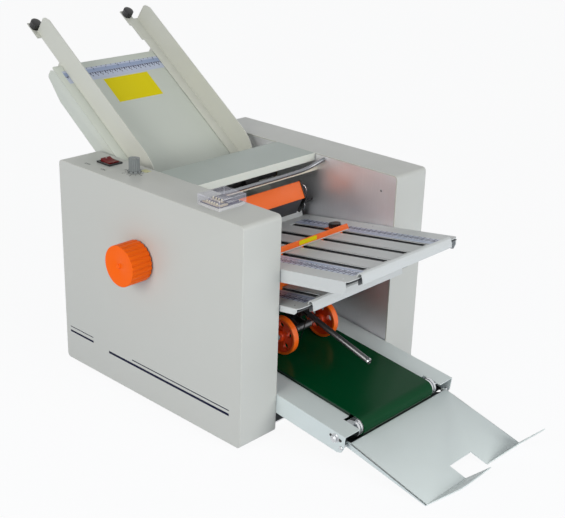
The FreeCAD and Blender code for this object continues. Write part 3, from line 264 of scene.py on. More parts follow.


# the hood's front faces are painted lighter: painted light
HOOD = finish_of("hood_paint_with_painted_front_light", (170, 180, 174), 0.36, paint_over=lighter_front, gloss=0.05, shine=0.3,
    drift_by=0.012, peel=12, wear_and_highlight=(232, 234, 228, 0.8), edge=0.9, dust=0.03)
SHEET = finish_of("sheet_paint", (207, 212, 203), 0.42, gloss=0.05, shine=0.35, drift_by=0.012, peel=12,
    wear_and_highlight=(244, 244, 236, 0.95), edge=1.2, dust=0.04)
GUIDE = finish_of("guide_paint", (210, 211, 202), 0.42, gloss=0.04, shine=0.3, drift_by=0.012, peel=12,
    wear_and_highlight=(248, 246, 240, 0.9), edge=1, dust=0.03)
PLATE = finish_of("plate_paint", (205, 208, 208), 0.4, gloss=0.05, shine=0.35, drift_by=0.02, peel=25,
    wear_and_highlight=(238, 238, 236, 0.5), dust=0.04)
UNDER = finish_of("plate_under", (84, 86, 88), 0.5, drift_by=0.06, wear_and_highlight=(150, 152, 154, 0.3), edge=0.4)
RAIL = finish_of("rail_paint", (214, 223, 223), 0.38, gloss=0.06, shine=0.35, drift_by=0.02,
    wear_and_highlight=(232, 232, 228, 0.5), edge=0.7, dust=0.05)
FRAME = finish_of("frame_steel", (236, 236, 240), 0.47, metal=0.92, drift_by=0.04, peel=10,
    wear_and_highlight=(235, 236, 238, 0.3), edge=0.5, brushed=(900, 60, 30, 0.12))
CHROME = finish_of("bright_steel", (132, 134, 138), 0.28, metal=1, drift_by=0.02, peel=8,
    wear_and_highlight=(230, 232, 235, 0.3), edge=0.4, brushed=(900, 20, 900, 0.12))
BRIGHT = finish_of("turned_steel", (205, 207, 210), 0.26, metal=1, peel=10, wear_and_highlight=(235, 236, 238, 0.4),
    edge=0.4, brushed=(20, 1500, 20, 0.2))
DARK_STEEL = finish_of("dark_steel", (112, 112, 114), 0.34, metal=0.9, drift_by=0.05,
    wear_and_highlight=(170, 172, 174, 0.5), edge=0.4, brushed=(30, 600, 600, 0.3))
RUBBER = finish_of("roller_rubber", (46, 46, 48), 0.62, drift_by=0.1, peel=50, peel_size=1500,
    wear_and_highlight=(80, 80, 82, 0.3), edge=0.9, dust=0.1)
BELT = finish_of("green_belt", (0, 62, 32), 0.22, shine=0.1, drift_by=0.06, peel=20, peel_size=1100,
    wear_and_highlight=(20, 100, 66, 0.4))
ORANGE = finish_of("orange_plastic", (255, 104, 0), 0.42, shine=0.14, drift_by=0.02, peel=20,
    peel_size=900, wear_and_highlight=(255, 150, 70, 0.6), edge=0.9)
ORANGE_PAINT = finish_of("orange_paint", (252, 112, 34), 0.34, gloss=0.08, shine=0.35,
    wear_and_highlight=(250, 150, 100, 0.5), dust=0.02)
WHEEL = finish_of("wheel_plastic", (232, 66, 8), 0.38, gloss=0.1, drift_by=0.04, peel=20,
    wear_and_highlight=(250, 130, 50, 0.6))
# black plastic; also the painted shade of the strip round the belt's front end, of the tension slots and of
# nothing else
BLACK_AND_SHADE = finish_of("black_plastic", (19, 19, 21), 0.36, gloss=0.1, drift_by=0.06, peel_size=1400,
    wear_and_highlight=(86, 86, 90, 0.45))
RED = finish_of("red_plastic", (104, 0, 6), 0.36, shine=0.18, peel=5, wear_and_highlight=(150, 14, 22, 0.3), edge=0.5)
GREY = finish_of("grey_plastic", (128, 133, 134), 0.45, peel_size=1500, wear_and_highlight=(160, 164, 168, 0.4),
    edge=0.5, dust=0.05)
PALE = finish_of("pale_plastic", (214, 214, 210), 0.4, gloss=0.1, drift_by=0.02, wear_and_highlight=(240, 240, 238, 0.4),
    edge=0.5)
CREAM = finish_of("cream_plastic", (226, 220, 202), 0.42, wear_and_highlight=(244, 240, 226, 0.4), dust=0.03)
GREEN_BOARD = finish_of("board_green", (30, 96, 60), 0.5, drift_by=0.1, wear_and_highlight=(90, 140, 100, 0.4), edge=0.5)
BRONZE = finish_of("bearing_bronze", (168, 128, 72), 0.4, metal=0.9, drift_by=0.08,
    wear_and_highlight=(214, 180, 120, 0.4), edge=0.9, brushed=(20, 900, 20, 0.25))
MOTOR = finish_of("motor_steel", (84, 86, 90), 0.5, metal=0.4, drift_by=0.1, peel=80, peel_size=600,
    wear_and_highlight=(150, 152, 156, 0.5), edge=0.9, dust=0.15)
NAVY = finish_of("navy_print", (22, 24, 52), 0.55, shine=0.08, drift_by=0.04, peel=10,
    wear_and_highlight=(60, 60, 92, 0.2), edge=0.2)
YELLOW = finish_of("yellow_film", (232, 214, 0), 0.4, shine=0.15, peel=10, wear_and_highlight=(246, 234, 90, 0.4),
    edge=0.4)
# violet windows; also the painted shade of the gap under the counter's card
VIOLET_AND_GAP_SHADE = finish_of("violet_window_and_gap_shade", (38, 30, 58), 0.16, gloss=0.4, drift_by=0.15, peel=5,
    wear_and_highlight=(110, 100, 130, 0.3), edge=0.3)
BEIGE = finish_of("beige_plastic", (196, 180, 152), 0.44, drift_by=0.04, wear_and_highlight=(226, 214, 190, 0.4),
    edge=0.3)
PALE_YELLOW = finish_of("pale_yellow_film", (206, 204, 150), 0.4, drift_by=0.04, peel=10,
    wear_and_highlight=(236, 228, 160, 0.3), edge=0.2)
GOLD = finish_of("gold_pins", (224, 214, 186), 0.3, metal=0.2, drift_by=0.1, peel=10,
    wear_and_highlight=(250, 240, 200, 0.5), edge=0.2)
DEEP_GREEN = finish_of("deep_green", (6, 40, 26), 0.5, drift_by=0.06, wear_and_highlight=(20, 70, 50, 0.2), edge=0.4)
DARK_RUBBER = finish_of("dark_skirt", (58, 58, 62), 0.5, drift_by=0.08, peel=40, peel_size=1300,
    wear_and_highlight=(104, 104, 108, 0.4), edge=0.5)
WHEEL_RIM = finish_of("wheel_rim", (255, 108, 20), 0.32, gloss=0.15, peel=20, wear_and_highlight=(255, 160, 80, 0.5),
    edge=0.8)
# dark print; also the painted shadow lines along the plates' slots
DARK_PRINT_AND_SHADOW = finish_of("dark_print_and_painted_shadow", (28, 30, 34), 0.5, drift_by=0.05, peel=10, wear_and_highlight=(70, 74, 78, 0.1),
    edge=0.2)
CARD = finish_of("grey_card", (96, 92, 108), 0.45, drift_by=0.06, peel=10, wear_and_highlight=(180, 178, 186, 0.3),
    edge=0.2)


def ruler_marks(tree, tint):
    """ticks every 1, 5 and 10 mm with a pale stripe, along the plates' bands and across the table's"""
    x, y = lay(tree, "SeparateXYZ", {0: lay(tree, "TexCoord").outputs["Object"]}).outputs[:2]
    side = sums(tree, "ABSOLUTE", sums(tree, "SUBTRACT", y, MIDDLE * MM))
    on_table = sums(tree, "LESS_THAN", x, -0.2)
    plate_x = sums(tree, "MULTIPLY", x, 1.0111)
    slope_x = sums(tree, "MULTIPLY", sums(tree, "ADD", x, 0.3628), 1.2283)
    marks = 0.0
    stripe = lay(tree, "Mix", {0: on_table, 2: between(tree, side, 0.0775, 0.0805),
                               3: between(tree, slope_x, 0.009, 0.0165)}).outputs[0]
    for pitch, reach, thick in ((0.001, 0.0026, 0.0002), (0.005, 0.005, 0.0004), (0.01, 0.007, 0.0007)):
        along_plate = ticks(tree, plate_x, side, 0.0885, pitch, reach * 1.4, thick * 1.5)
        inch_side = ticks(tree, y, slope_x, 0.0003, pitch, reach, thick)
        centimetre_side = ticks(tree, y, slope_x, 0.0168, pitch, reach * 0.8, thick * 1.6)
        across_table = sums(tree, "MAXIMUM", inch_side, centimetre_side)
        both = lay(tree, "Mix", {0: on_table, 2: along_plate, 3: across_table}).outputs[0]
        marks = sums(tree, "MAXIMUM", both, marks)
    middle = blend_of(tree, stripe, tint, ink(146, 162, 194))
    return blend_of(tree, marks, middle, ink(34, 42, 84))


TAPE = finish_of("tape_print", (188, 196, 216), 0.34, paint_over=ruler_marks, gloss=0.25, drift_by=0.02,
    peel=10, wear_and_highlight=(214, 220, 232, 0.3), edge=0.3)


# how much of a clear face's light is stopped
CLEAR_SHARE = 0.09


def clear_finish(name, colour, rough):
    """thin clear sheet: nearly nothing on its faces, a painted white highlight along its edges"""
    made, tree = empty_material(name)
    shader = lay(tree, "BsdfPrincipled", {"Specular IOR Level": 0.6})
    tree.links.new(shader.outputs[0], lay(tree, "OutputMaterial").inputs[0])
    tint = use(tree, drift, Colour=ink(*colour), Amount=0.02)["Colour"]
    # a painted white highlight along the edges, which are also made more opaque
    worn_and_lit_edges = use(tree, wear_and_highlight_edges, Colour=tint, Rub=ink(250, 250, 252), Width=0.0017, Strength=1.0)
    tree.links.new(worn_and_lit_edges["Colour"], shader.inputs["Base Color"])
    scratches = speckle(tree, 1.0, 3.0, (700, 90, 90))
    tree.links.new(spread(tree, scratches, 0.35, 0.75, rough, rough + 0.06), shader.inputs["Roughness"])
    film = sums(tree, "ADD", sums(tree, "MULTIPLY", scratches, 0.06), CLEAR_SHARE)
    film = sums(tree, "ADD", film, sums(tree, "MULTIPLY", worn_and_lit_edges["Mask"], 0.9), True)
    tree.links.new(film, shader.inputs["Alpha"])
    return made


CLEAR = clear_finish("clear_plastic", (214, 214, 232), 0.05)


def coat(material, *names):
    for name in names:
        mesh = solids[name].data
        mesh.materials.clear()
        mesh.materials.append(material)


coat(COVER, "near_side_cover", "far_side_cover")
coat(HOOD, "hood")
coat(SHEET, "feed_table")
coat(GUIDE, "left_guide", "right_guide")
coat(PLATE, "upper_plate_top", "lower_plate_top")
coat(RAIL, "conveyor_frame", "catch_tray")
coat(FRAME, "near_side_frame", "far_side_frame", "base_pan", "plate_mounts")
coat(UNDER, "upper_plate_bottom", "lower_plate_bottom", "upper_rear_plate", "lower_rear_plate")
coat(CHROME, "tie_rods")
coat(BRIGHT, "belt_end_roller", "belt_drive_roller", "wheel_axle", "machine_screws",
     "conveyor_bolts")
coat(DARK_STEEL, "wheel_rod", "wheel_arm")
coat(RUBBER, *("fold_roller_" + count for count in ("one", "two", "three", "four", "five", "six")),
     "feed_roller", "separator_pad", "rubber_feet", "drive_belts")
coat(BELT, "conveyor_belt")
coat(ORANGE, "hand_knob")
coat(ORANGE_PAINT, "guard_panel", "upper_front_stop", "lower_front_stop", "upper_rear_stop",
     "lower_rear_stop")
coat(WHEEL, "delivery_wheels")
coat(BLACK_AND_SHADE, "wheel_carriage", "switch_housing", "power_inlet", "left_guide_knob", "right_guide_knob",
     "upper_stop_knob", "motor_pulley")
coat(RED, "switch_rocker")
coat(GREY, "speed_knob")
coat(CREAM, "cream_strip", "counter_base")
coat(CLEAR, "counter_cover")
coat(GREEN_BOARD, "control_board")
coat(BRONZE, "shaft_bearings")
coat(MOTOR, "drive_motor")
coat(TAPE, "ruler_tapes")


# ---- studio
def backdrop_share(tree, strength):
    """strength where a ray comes from the eye, a reflection or a clear piece, else nothing"""
    path = lay(tree, "LightPath").outputs
    seen = sums(tree, "MAXIMUM", path["Is Camera Ray"], path["Is Glossy Ray"])
    seen = sums(tree, "MAXIMUM", seen, path["Is Transmission Ray"])
    return sums(tree, "MULTIPLY", seen, strength)


world = bpy.data.worlds.new("studio")
world.use_nodes = True
world.node_tree.nodes.clear()
bpy.context.scene.world = world
tree = world.node_tree
ambient = lay(tree, "Background", {"Color": (0.93, 0.97, 1.0, 1), "Strength": 0.38})
white = lay(tree, "Background", {"Color": WHITE, "Strength": 1.0})
mix = lay(tree, "MixShader", {0: backdrop_share(tree, 1.0), 1: ambient.outputs[0],
                              2: white.outputs[0]})
tree.links.new(mix.outputs[0], lay(tree, "OutputWorld").inputs[0])

bpy.ops.object.select_all(action="DESELECT")
bpy.ops.mesh.primitive_plane_add(size=12, location=(0, 0, -0.0002))
floor = bpy.context.object
floor.name = "bench_top"
floor_paint, tree = empty_material("bench_white")
matt = lay(tree, "BsdfPrincipled", {"Base Color": (0.74, 0.80, 0.92, 1), "Roughness": 0.8})
glow = lay(tree, "Emission", {"Color": WHITE, "Strength": 1.0})
mix = lay(tree, "MixShader", {0: backdrop_share(tree, 0.93), 1: matt.outputs[0], 2: glow.outputs[0]})
tree.links.new(mix.outputs[0], lay(tree, "OutputMaterial").inputs[0])
floor.data.materials.append(floor_paint)


def soft_lamp(name, place, aim, width, power, colour):
    lamp = bpy.data.lights.new(name, "AREA")
    lamp.shape = "DISK"
    lamp.size = width
    lamp.energy = power
    lamp.color = colour
    stand = bpy.data.objects.new(name, lamp)
    bpy.context.scene.collection.objects.link(stand)
    away = (Vector(place) - Vector(aim)).to_track_quat("Z", "Y")
    stand.matrix_world = Matrix.Translation(place) @ away.to_matrix().to_4x4()


soft_lamp("side_lamp", (0.3, -2.2, 0.98), (0, 0, 0.2), 1.3, 24, (1.0, 0.975, 0.92))
soft_lamp("front_lamp", (2.3, 0.25, 0.75), (0.1, 0, 0.2), 1.2, 24, (1.0, 1.0, 0.98))


# ---- workbench
def clear_bench():
    if bpy.context.object and bpy.context.object.mode != "OBJECT":
        bpy.ops.object.mode_set(mode="OBJECT")
    bpy.ops.object.select_all(action="DESELECT")


def pick_up(piece):
    clear_bench()
    piece.select_set(True)
    bpy.context.view_layer.objects.active = piece


def set_down(piece, where=None):
    pick_up(piece)
    bpy.context.view_layer.update()
    if where is not None:
        piece.matrix_world = where @ piece.matrix_world
    bpy.ops.object.transform_apply(location=True, rotation=True, scale=True)
    return piece


def fresh(name):
    piece = bpy.context.object
    piece.name = name
    return piece


def block(name, low, high):
    clear_bench()
    bpy.ops.mesh.primitive_cube_add(size=1)
    piece = fresh(name)
    piece.location = [(a + b) / 2 * MM for a, b in zip(low, high)]
    piece.scale = [(b - a) * MM for a, b in zip(low, high)]
    return set_down(piece)


TURNS = {"X": (0, math.pi / 2, 0), "Y": (math.pi / 2, 0, 0), "Z": (0, 0, 0)}


def turned(name, centre, radius, length, axis, sides):
    clear_bench()
    bpy.ops.mesh.primitive_cylinder_add(vertices=sides, radius=radius * MM, depth=length * MM,
                                        location=[c * MM for c in centre], rotation=TURNS[axis])
    return set_down(fresh(name))


def choose(piece, kind, test):
    pick_up(piece)
    bpy.ops.object.mode_set(mode="EDIT")
    bpy.ops.mesh.select_mode(type=kind)
    bpy.ops.mesh.select_all(action="DESELECT")
    shape = bmesh.from_edit_mesh(piece.data)
    for part in {"VERT": shape.verts, "EDGE": shape.edges, "FACE": shape.faces}[kind]:
        if test(part):
            part.select_set(True)
    bmesh.update_edit_mesh(piece.data)


# how far a face's normal has to point a given way
TOWARD = 0.9


def faces_toward(piece, way):
    choose(piece, "FACE", lambda face: face.normal.dot(Vector(way)) > TOWARD)


def faces_up(piece, above):
    choose(piece, "FACE", lambda face: face.normal.z > TOWARD and face.calc_center_median().z > above * MM)


def faces_down(piece, below):
    choose(piece, "FACE", lambda face: face.normal.z < -TOWARD and face.calc_center_median().z < below * MM)


def length_along(edge, axis):
    return abs(edge.verts[0].co[axis] - edge.verts[1].co[axis])


def inset_by(*steps):
    """one inset after another, each with its width and depth"""
    for width, depth in steps:
        bpy.ops.mesh.inset(thickness=width * MM, depth=depth * MM)


def bevel(width, segments):
    bpy.ops.mesh.bevel(offset=width * MM, segments=segments, affect="EDGES")


def push(x=0.0, y=0.0, z=0.0):
    bpy.ops.mesh.extrude_region_move(TRANSFORM_OT_translate={"value": (x * MM, y * MM, z * MM)})


def scale_about(centre, x=1.0, y=1.0, z=1.0):
    bpy.ops.transform.resize(value=(x, y, z), center_override=[c * MM for c in centre])


def shift(x=0.0, y=0.0, z=0.0):
    bpy.ops.transform.translate(value=(x * MM, y * MM, z * MM))


def smooth(degrees):
    bpy.ops.object.shade_smooth_by_angle(angle=math.radians(degrees))


def round_edges(piece, width, segments, angle):
    pick_up(piece)
    soft = piece.modifiers.new("soft", "BEVEL")
    soft.width = width * MM
    soft.segments = segments
    soft.limit_method = "ANGLE"
    soft.angle_limit = math.radians(angle)
    bpy.ops.object.modifier_apply(modifier="soft")
    smooth(38)
    return piece


def cut_with(piece, *tools):
    tool = joined(tools[0].name, *tools)
    pick_up(piece)
    knife = piece.modifiers.new("cut", "BOOLEAN")
    knife.operation = "DIFFERENCE"
    knife.solver = "EXACT"
    knife.object = tool
    bpy.ops.object.modifier_apply(modifier="cut")
    bpy.data.objects.remove(tool)
    return piece


def joined(name, *parts):
    clear_bench()
    for part in parts:
        part.select_set(True)
    bpy.context.view_layer.objects.active = parts[0]
    if len(parts) > 1:
        bpy.ops.object.join()
    parts[0].name = name
    return parts[0]


def copy_to(piece, name, where):
    twin = piece.copy()
    twin.data = piece.data.copy()
    twin.name = name
    bpy.context.scene.collection.objects.link(twin)
    return set_down(twin, where)


def hand_over(piece, body, slot, *stands_for):
    clear_bench()
    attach(piece, body)
    if stands_for:
        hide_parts(*stands_for)


HERE = None


def dress(piece, where, material, body, slot, *stands_for):
    """sets a piece down, or leaves it HERE, and gives it its finish and its body"""
    if where is not HERE:
        set_down(piece, where)
    piece.data.materials.clear()
    piece.data.materials.append(material)
    hand_over(piece, body, slot, *stands_for)


def placed(piece, soft, where):
    return set_down(round_edges(piece, *soft), where)


def fit(piece, soft, where, material, body, slot, *stands_for):
    """rounds a piece's edges by soft (width, segments, angle), sets it down and dresses it"""
    dress(placed(piece, soft, where), HERE, material, body, slot, *stands_for)


# ---- places
REAR = -251
LENGTH, HEIGHT, FOOT = 400, 340, 6


def local(x, y, z):
    return Matrix.Translation((x * MM, y * MM, z * MM))


def slope(x, z, angle, y=MIDDLE):
    return local(x, y, z) @ spun(angle, "Y")


TABLE = slope(-77.95, 242.6, 35.5)
UPPER = slope(-31, 233.25, -8.5)
LOWER = slope(-31, 179.25, -8.5)
CONVEYOR = slope(151, 67, 6.56)
ROD = slope(87, 137, 16)
TRAY = slope(271.7, 39, 14.5)
MACHINE = local(REAR, MIDDLE, 0)
COVER_TOP = local(REAR, MIDDLE, HEIGHT)
TO_NEAR = spun(90, "X")

# the front fold plates, each with its length, and the slots that both have
PLATES = ((UPPER, 301), (LOWER, 217))
PLATE_SLOTS = (-66, -22, 22, 66)
SIDES = (-1, 1)


# ---- shaping helpers
def on_circle(radius, degrees):
    return radius * math.cos(math.radians(degrees)), radius * math.sin(math.radians(degrees))


def slice_at(piece, point, normal):
    choose(piece, "VERT", lambda vert: False)
    bpy.ops.mesh.select_all(action="SELECT")
    bpy.ops.mesh.bisect(plane_co=[p * MM for p in point], plane_no=normal)


def fluted(name, radius, length, flutes, depths, top):
    """an upright grip with flutes up to the height top, each flute's section given by depths"""
    steps = len(depths)
    sides = flutes * steps
    piece = turned(name, (0, 0, length / 2), radius, length, "Z", sides)
    for height in (0.8, top):
        slice_at(piece, (0, 0, height), (0, 0, 1))

    def in_groove(number):
        def found(vert):
            turn = round(math.atan2(vert.co.y, vert.co.x) / (2 * math.pi) * sides) % steps
            return turn == number and vert.co.z / MM < top + 0.1
        return found

    for number, depth in enumerate(depths):
        if depth != 1:
            choose(piece, "VERT", in_groove(number))
            scale_about((0, 0, 0), depth, depth)
    return piece


def pushed_out(name, outline, way):
    """a solid from a flat outline, given corner by corner, and the way it is pushed out"""
    clear_bench()
    bpy.ops.mesh.primitive_circle_add(vertices=len(outline), radius=1 * MM, fill_type="NGON")
    piece = fresh(name)
    for vert, corner in zip(piece.data.vertices, outline):
        vert.co = [c * MM for c in corner]
    choose(piece, "FACE", lambda face: True)
    push(*way)
    bpy.ops.mesh.select_all(action="SELECT")
    bpy.ops.mesh.normals_make_consistent(inside=False)
    clear_bench()
    return piece


def bar(name, corners, y0, y1):
    """a bar whose section in x and z is given, from y0 to y1"""
    return pushed_out(name, [(x, y0, z) for x, z in corners], (0, y1 - y0, 0))


def wire(name, points, radius, sides=3):
    """a bent wire along the points, its ends closed"""
    clear_bench()
    line = bpy.data.curves.new(name, "CURVE")
    line.dimensions = "3D"
    line.bevel_depth = radius * MM
    line.bevel_resolution = sides
    line.use_fill_caps = True
    run = line.splines.new("NURBS")
    run.points.add(len(points) - 1)
    for spot, place in zip(run.points, points):
        spot.co = (*(c * MM for c in place), 1)
    run.order_u = 3
    run.use_endpoint_u = True
    run.resolution_u = 8
    piece = bpy.data.objects.new(name, line)
    bpy.context.scene.collection.objects.link(piece)
    pick_up(piece)
    bpy.ops.object.convert(target="MESH")
    return bpy.context.object


# size of a text for figures of height 1, and how far its figures stand out
TEXT_SIZE, TEXT_RISE = 1.4, 0.04


def lettered(name, text, height, centre, turn=0.0):
    """flat figures, centred, lying on the xy plane"""
    clear_bench()
    bpy.ops.object.text_add()
    word = fresh(name)
    word.data.body = text
    word.data.size = height * MM * TEXT_SIZE
    word.data.align_x = "CENTER"
    word.data.align_y = "CENTER"
    word.data.extrude = TEXT_RISE * MM
    word.data.resolution_u = 3
    bpy.ops.object.convert(target="MESH")
    return set_down(bpy.context.object, local(*centre) @ spun(turn, "Z"))


# ---- hand knob
grip = fluted("hand_knob_grip", 31, 36, 24, (0.95, 0.978, 1, 1, 1, 0.985), 34.6)
faces_up(grip, 35)
inset_by((0.9, 0), (26.6, 0), (0.5, -0.3))
push(z=-0.8)
faces_down(grip, 1)
push()
scale_about((0, 0, 0), 0.87, 0.87)
push(z=6)
scale_about((0, 0, 6), 0.88, 0.88)
round_edges(grip, 0.3, 2, 40)
button = turned("knob_button", (0, 0, 36.1), 3.3, 2.8, "Z", 40)
faces_up(button, 37)
inset_by((1.5, 0), (0.4, -0.6))
round_edges(button, 0.2, 2, 40)
dress(joined("hand_knob_grip", grip, button), local(-63, -180.2, 231) @ TO_NEAR, ORANGE, "main_shaft",
      "orange_plastic", "hand_knob")

# ---- rocker switch
ROCKER = slope(-185.25, 338, 7, -132)
red = block("rocker_cap", (-11.3, -9, -5), (11.3, 9, 7.6))
for x in (-7.5, -4, 0, 4, 7.5):
    slice_at(red, (x, 0, 0), (1, 0, 0))
for reach, drop in ((0, 1.9), (4, 1.6), (7.5, 0.8)):
    choose(red, "VERT", lambda vert: abs(abs(vert.co.x) / MM - reach) < 0.2 and vert.co.z > 0)
    shift(z=-drop)
choose(red, "VERT", lambda vert: abs(vert.co.x) / MM > 11 and vert.co.z < 0)
scale_about((0, 0, -5), 0.75)
round_edges(red, 0.7, 3, 30)
pin = round_edges(turned("rocker_pin", (0, 0, 0), 1.5, 20.8, "Y", 24), 0.2, 1, 40)
dress(joined("rocker_cap", red, pin), ROCKER, RED, "rocker", "red_plastic", "switch_rocker")
on_bar = set_down(block("rocker_marks", (-0.25, -1.3, -0.05), (0.25, 1.3, 0.08)),
                  local(8.8, 0, 7.05) @ spun(-11, "Y"))
off_ring = turned("off_ring", (0, 0, 0.015), 1.2, 0.13, "Z", 32)
faces_up(off_ring, 0)
inset_by((0.45, 0))
push(z=-0.1)
set_down(off_ring, local(-8.8, 0, 7.05) @ spun(11, "Y"))
dress(joined("rocker_marks", on_bar, off_ring), ROCKER, PALE, "rocker", "grey_plastic")

# ---- speed knob
SPEED = local(-124, -134.2, HEIGHT)
ribbed = fluted("speed_grip", 8.4, 19, 16, (0.84, 0.88, 1, 1, 0.88), 18)
faces_up(ribbed, 18)
inset_by((0.7, 0.25), (0.9, -0.35))
round_edges(ribbed, 0.15, 1, 45)
set_down(ribbed, local(0, 0, 3))
skirt = turned("speed_skirt", (0, 0, 1.8), 10.4, 2.8, "Z", 64)
faces_up(skirt, 3)
inset_by((1.6, 0.5))
round_edges(skirt, 0.3, 2, 40)
stem = round_edges(turned("speed_stem", (0, 0, -6.5), 3, 15, "Z", 32), 0.3, 1, 40)
dress(joined("speed_grip", ribbed, skirt, stem), SPEED, GREY, "speed", "grey_plastic", "speed_knob")
dots = [turned("skirt_dot", (*on_circle(9.6, turn), 2.6), 1.25, 1.8, "Z", 12)
        for turn in range(-170, 180, 40)]
pointer = block("speed_pointer", (3.2, -0.55, 21.9), (7.2, 0.55, 22.12))
fit(joined("speed_dots", *dots, pointer), (0.08, 1, 50), SPEED, BLACK_AND_SHADE, "speed", "black_plastic")

# ---- marks on the cover
DIAL_X, DIAL_Y = 127, -154
DIAL_START, DIAL_STEP = -230, 28
prints = []
for number in range(11):
    tick = block("tick", (12.2, -0.45, 0.02), (15 + 1.2 * (number % 2 == 0), 0.45, 0.08))
    turn = spun(DIAL_START + DIAL_STEP * number, "Z")
    prints.append(set_down(tick, local(DIAL_X, DIAL_Y, 0) @ turn))
for number in range(0, 11, 2):
    x, y = on_circle(18, DIAL_START + DIAL_STEP * number)
    prints.append(lettered("figure", str(number), 3.6, (DIAL_X + x, DIAL_Y + y, 0.06)))
for word, x in (("ON", 86), ("OFF", 48)):
    prints.append(lettered("word", word, 4.8, (x, -180, 0.06)))
dress(joined("cover_marks", *prints), COVER_TOP, DARK_PRINT_AND_SHADOW, "machine", "tape_print")
fit(block("cover_patch", (126, -143, 0.02), (140, -132, 0.14)), (0.04, 1, 40), COVER_TOP,
    PALE_YELLOW, "machine", "tape_print")

# ---- counter
COUNTER = local(65, -136.7, HEIGHT)
bed = block("counter_bed", (-20.8, -24.3, 0), (20.8, 24.3, 3.5))
faces_up(bed, 3)
inset_by((1.2, 0), (0.3, 0.3))
fit(bed, (0.5, 3, 50), COUNTER, PALE, "machine", "cream_plastic", "counter_base")
card = block("counter_card", (-18.8, -22.6, 4.3), (18.8, 21, 5))
fit(card, (0.2, 2, 50), COUNTER, CARD, "machine", "grey_plastic")
deck = joined("counter_deck", block("near_row", (-16, -22, 4.9), (14, -16.5, 6.4)),
              block("front_row", (14.6, -20, 4.9), (18.4, -5.5, 7)),
              block("high_row", (-14, -7.6, 4.9), (8.6, -3, 6.4)))
fit(deck, (0.3, 2, 50), COUNTER, BEIGE, "machine", "cream_plastic")
PIN = 1.2
near_pins = [(-9 + 4.9 * k, -18.8, 8.4) for k in range(5)]
high_pins = [(-11 + 5.5 * k, -5.2, 9.6) for k in range(4)]
pins = []
for x, y, top in near_pins + high_pins:
    pin = turned("counter_pin", (x, y, top / 2 + 2), PIN, top - 4, "Z", 10)
    faces_up(pin, top - 1)
    inset_by((PIN * 0.35, 0.3))
    pins.append(pin)
pins += [turned("bed_screw", (x, y, 5.6), 1.7, 1.2, "Z", 20) for x, y in ((-16.4, 12), (15.6, 17.4))]
fit(joined("counter_pins", *pins), (0.12, 1, 50), COUNTER, GOLD, "machine", "bright_steel")
# painted shade: a dark layer between the counter's bed and its card, where the gap under the deck shows dark
panes_and_gap_shade = [block("gap_shade_layer", (-19.2, -23, 3.6), (19.2, 21.4, 4.35))]
for low, high in (((-15.5, -1, 4.9), (6.5, 17, 7.2)), ((9.2, -3.6, 4.9), (18, 15.6, 7.2))):
    pane = block("pane", low, high)
    faces_up(pane, 7)
    inset_by((0.8, 0), (0.3, -0.4))
    panes_and_gap_shade.append(pane)
fit(joined("counter_panes_and_gap_shade", *panes_and_gap_shade), (0.2, 2, 50), COUNTER, VIOLET_AND_GAP_SHADE, "machine", "black_plastic")
lid = block("counter_lid", (-22, -25.5, 0.1), (22, 25.5, 16))
faces_down(lid, 1)
inset_by((0.9, 0))
push(z=15)
fit(lid, (0.35, 2, 50), COUNTER, CLEAR, "machine", "clear_plastic", "counter_cover")

# ---- side covers
BEND, SEAM, WALL = 7, 0.9, 2
RIM, FACE = 125.5, 197.5
BOSS_IN = 30


def bent_box(name, y_open, y_face, inset):
    """a box whose sheet is bent round its length, with square seams at its side faces"""
    low, high = sorted((y_open, y_face))
    box = block(name, (inset, low, FOOT + inset), (LENGTH - inset, high, HEIGHT - inset))
    choose(box, "EDGE", lambda edge: length_along(edge, 1) > MM)
    bevel(BEND - inset, 10)
    return box


for name, side, node in (("near_cover", -1, "near_side_cover"), ("far_cover", 1, "far_side_cover")):
    cover = bent_box(name, side * RIM, side * FACE, 0)
    choose(cover, "EDGE", lambda edge: all(abs(vert.co.y / MM - side * FACE) < 0.01 for vert in edge.verts))
    bevel(SEAM, 3)
    cut_with(cover, bent_box("hollow", side * (RIM - 2), side * (FACE - WALL), WALL))
    bosses = []
    for x in (BOSS_IN, LENGTH - BOSS_IN):
        for z in (FOOT + BOSS_IN, HEIGHT - BOSS_IN):
            boss = turned("boss", (x, side * 163.5, z), 5, 65.6, "Y", 32)
            faces_toward(boss, (0, -side, 0))
            inset_by((3, 0))
            push(y=side * 12)
            bosses.append(boss)
    if side < 0:
        cut_with(cover, turned("shaft_hole", (188, -197, 231), 8, 12, "Y", 48),
                 turned("speed_hole", (DIAL_X, DIAL_Y, 338), 3.6, 12, "Z", 32),
                 block("switch_hole", (52.25, -163.3, 330), (79.25, -140.3, 345)))
    cover = joined(name, cover, *bosses)
    smooth(24)
    dress(cover, MACHINE, COVER, "machine", "cover_paint", node)

# ---- printed stripes on the near cover
stripes = [block(name, (x0, -197.62, z0), (x1, -197.46, z1)) for name, x0, x1, z0, z1 in (
    ("thin_left", 11, 70, 62.6, 63.9), ("thick_left", 11, 70, 54, 57.4),
    ("thick_right", 109, 377, 50.4, 54.4), ("thin_right", 165, 377, 58.6, 60.2))]
fit(joined("cover_stripes", *stripes), (0.05, 1, 60), MACHINE, NAVY, "machine", "tape_print")

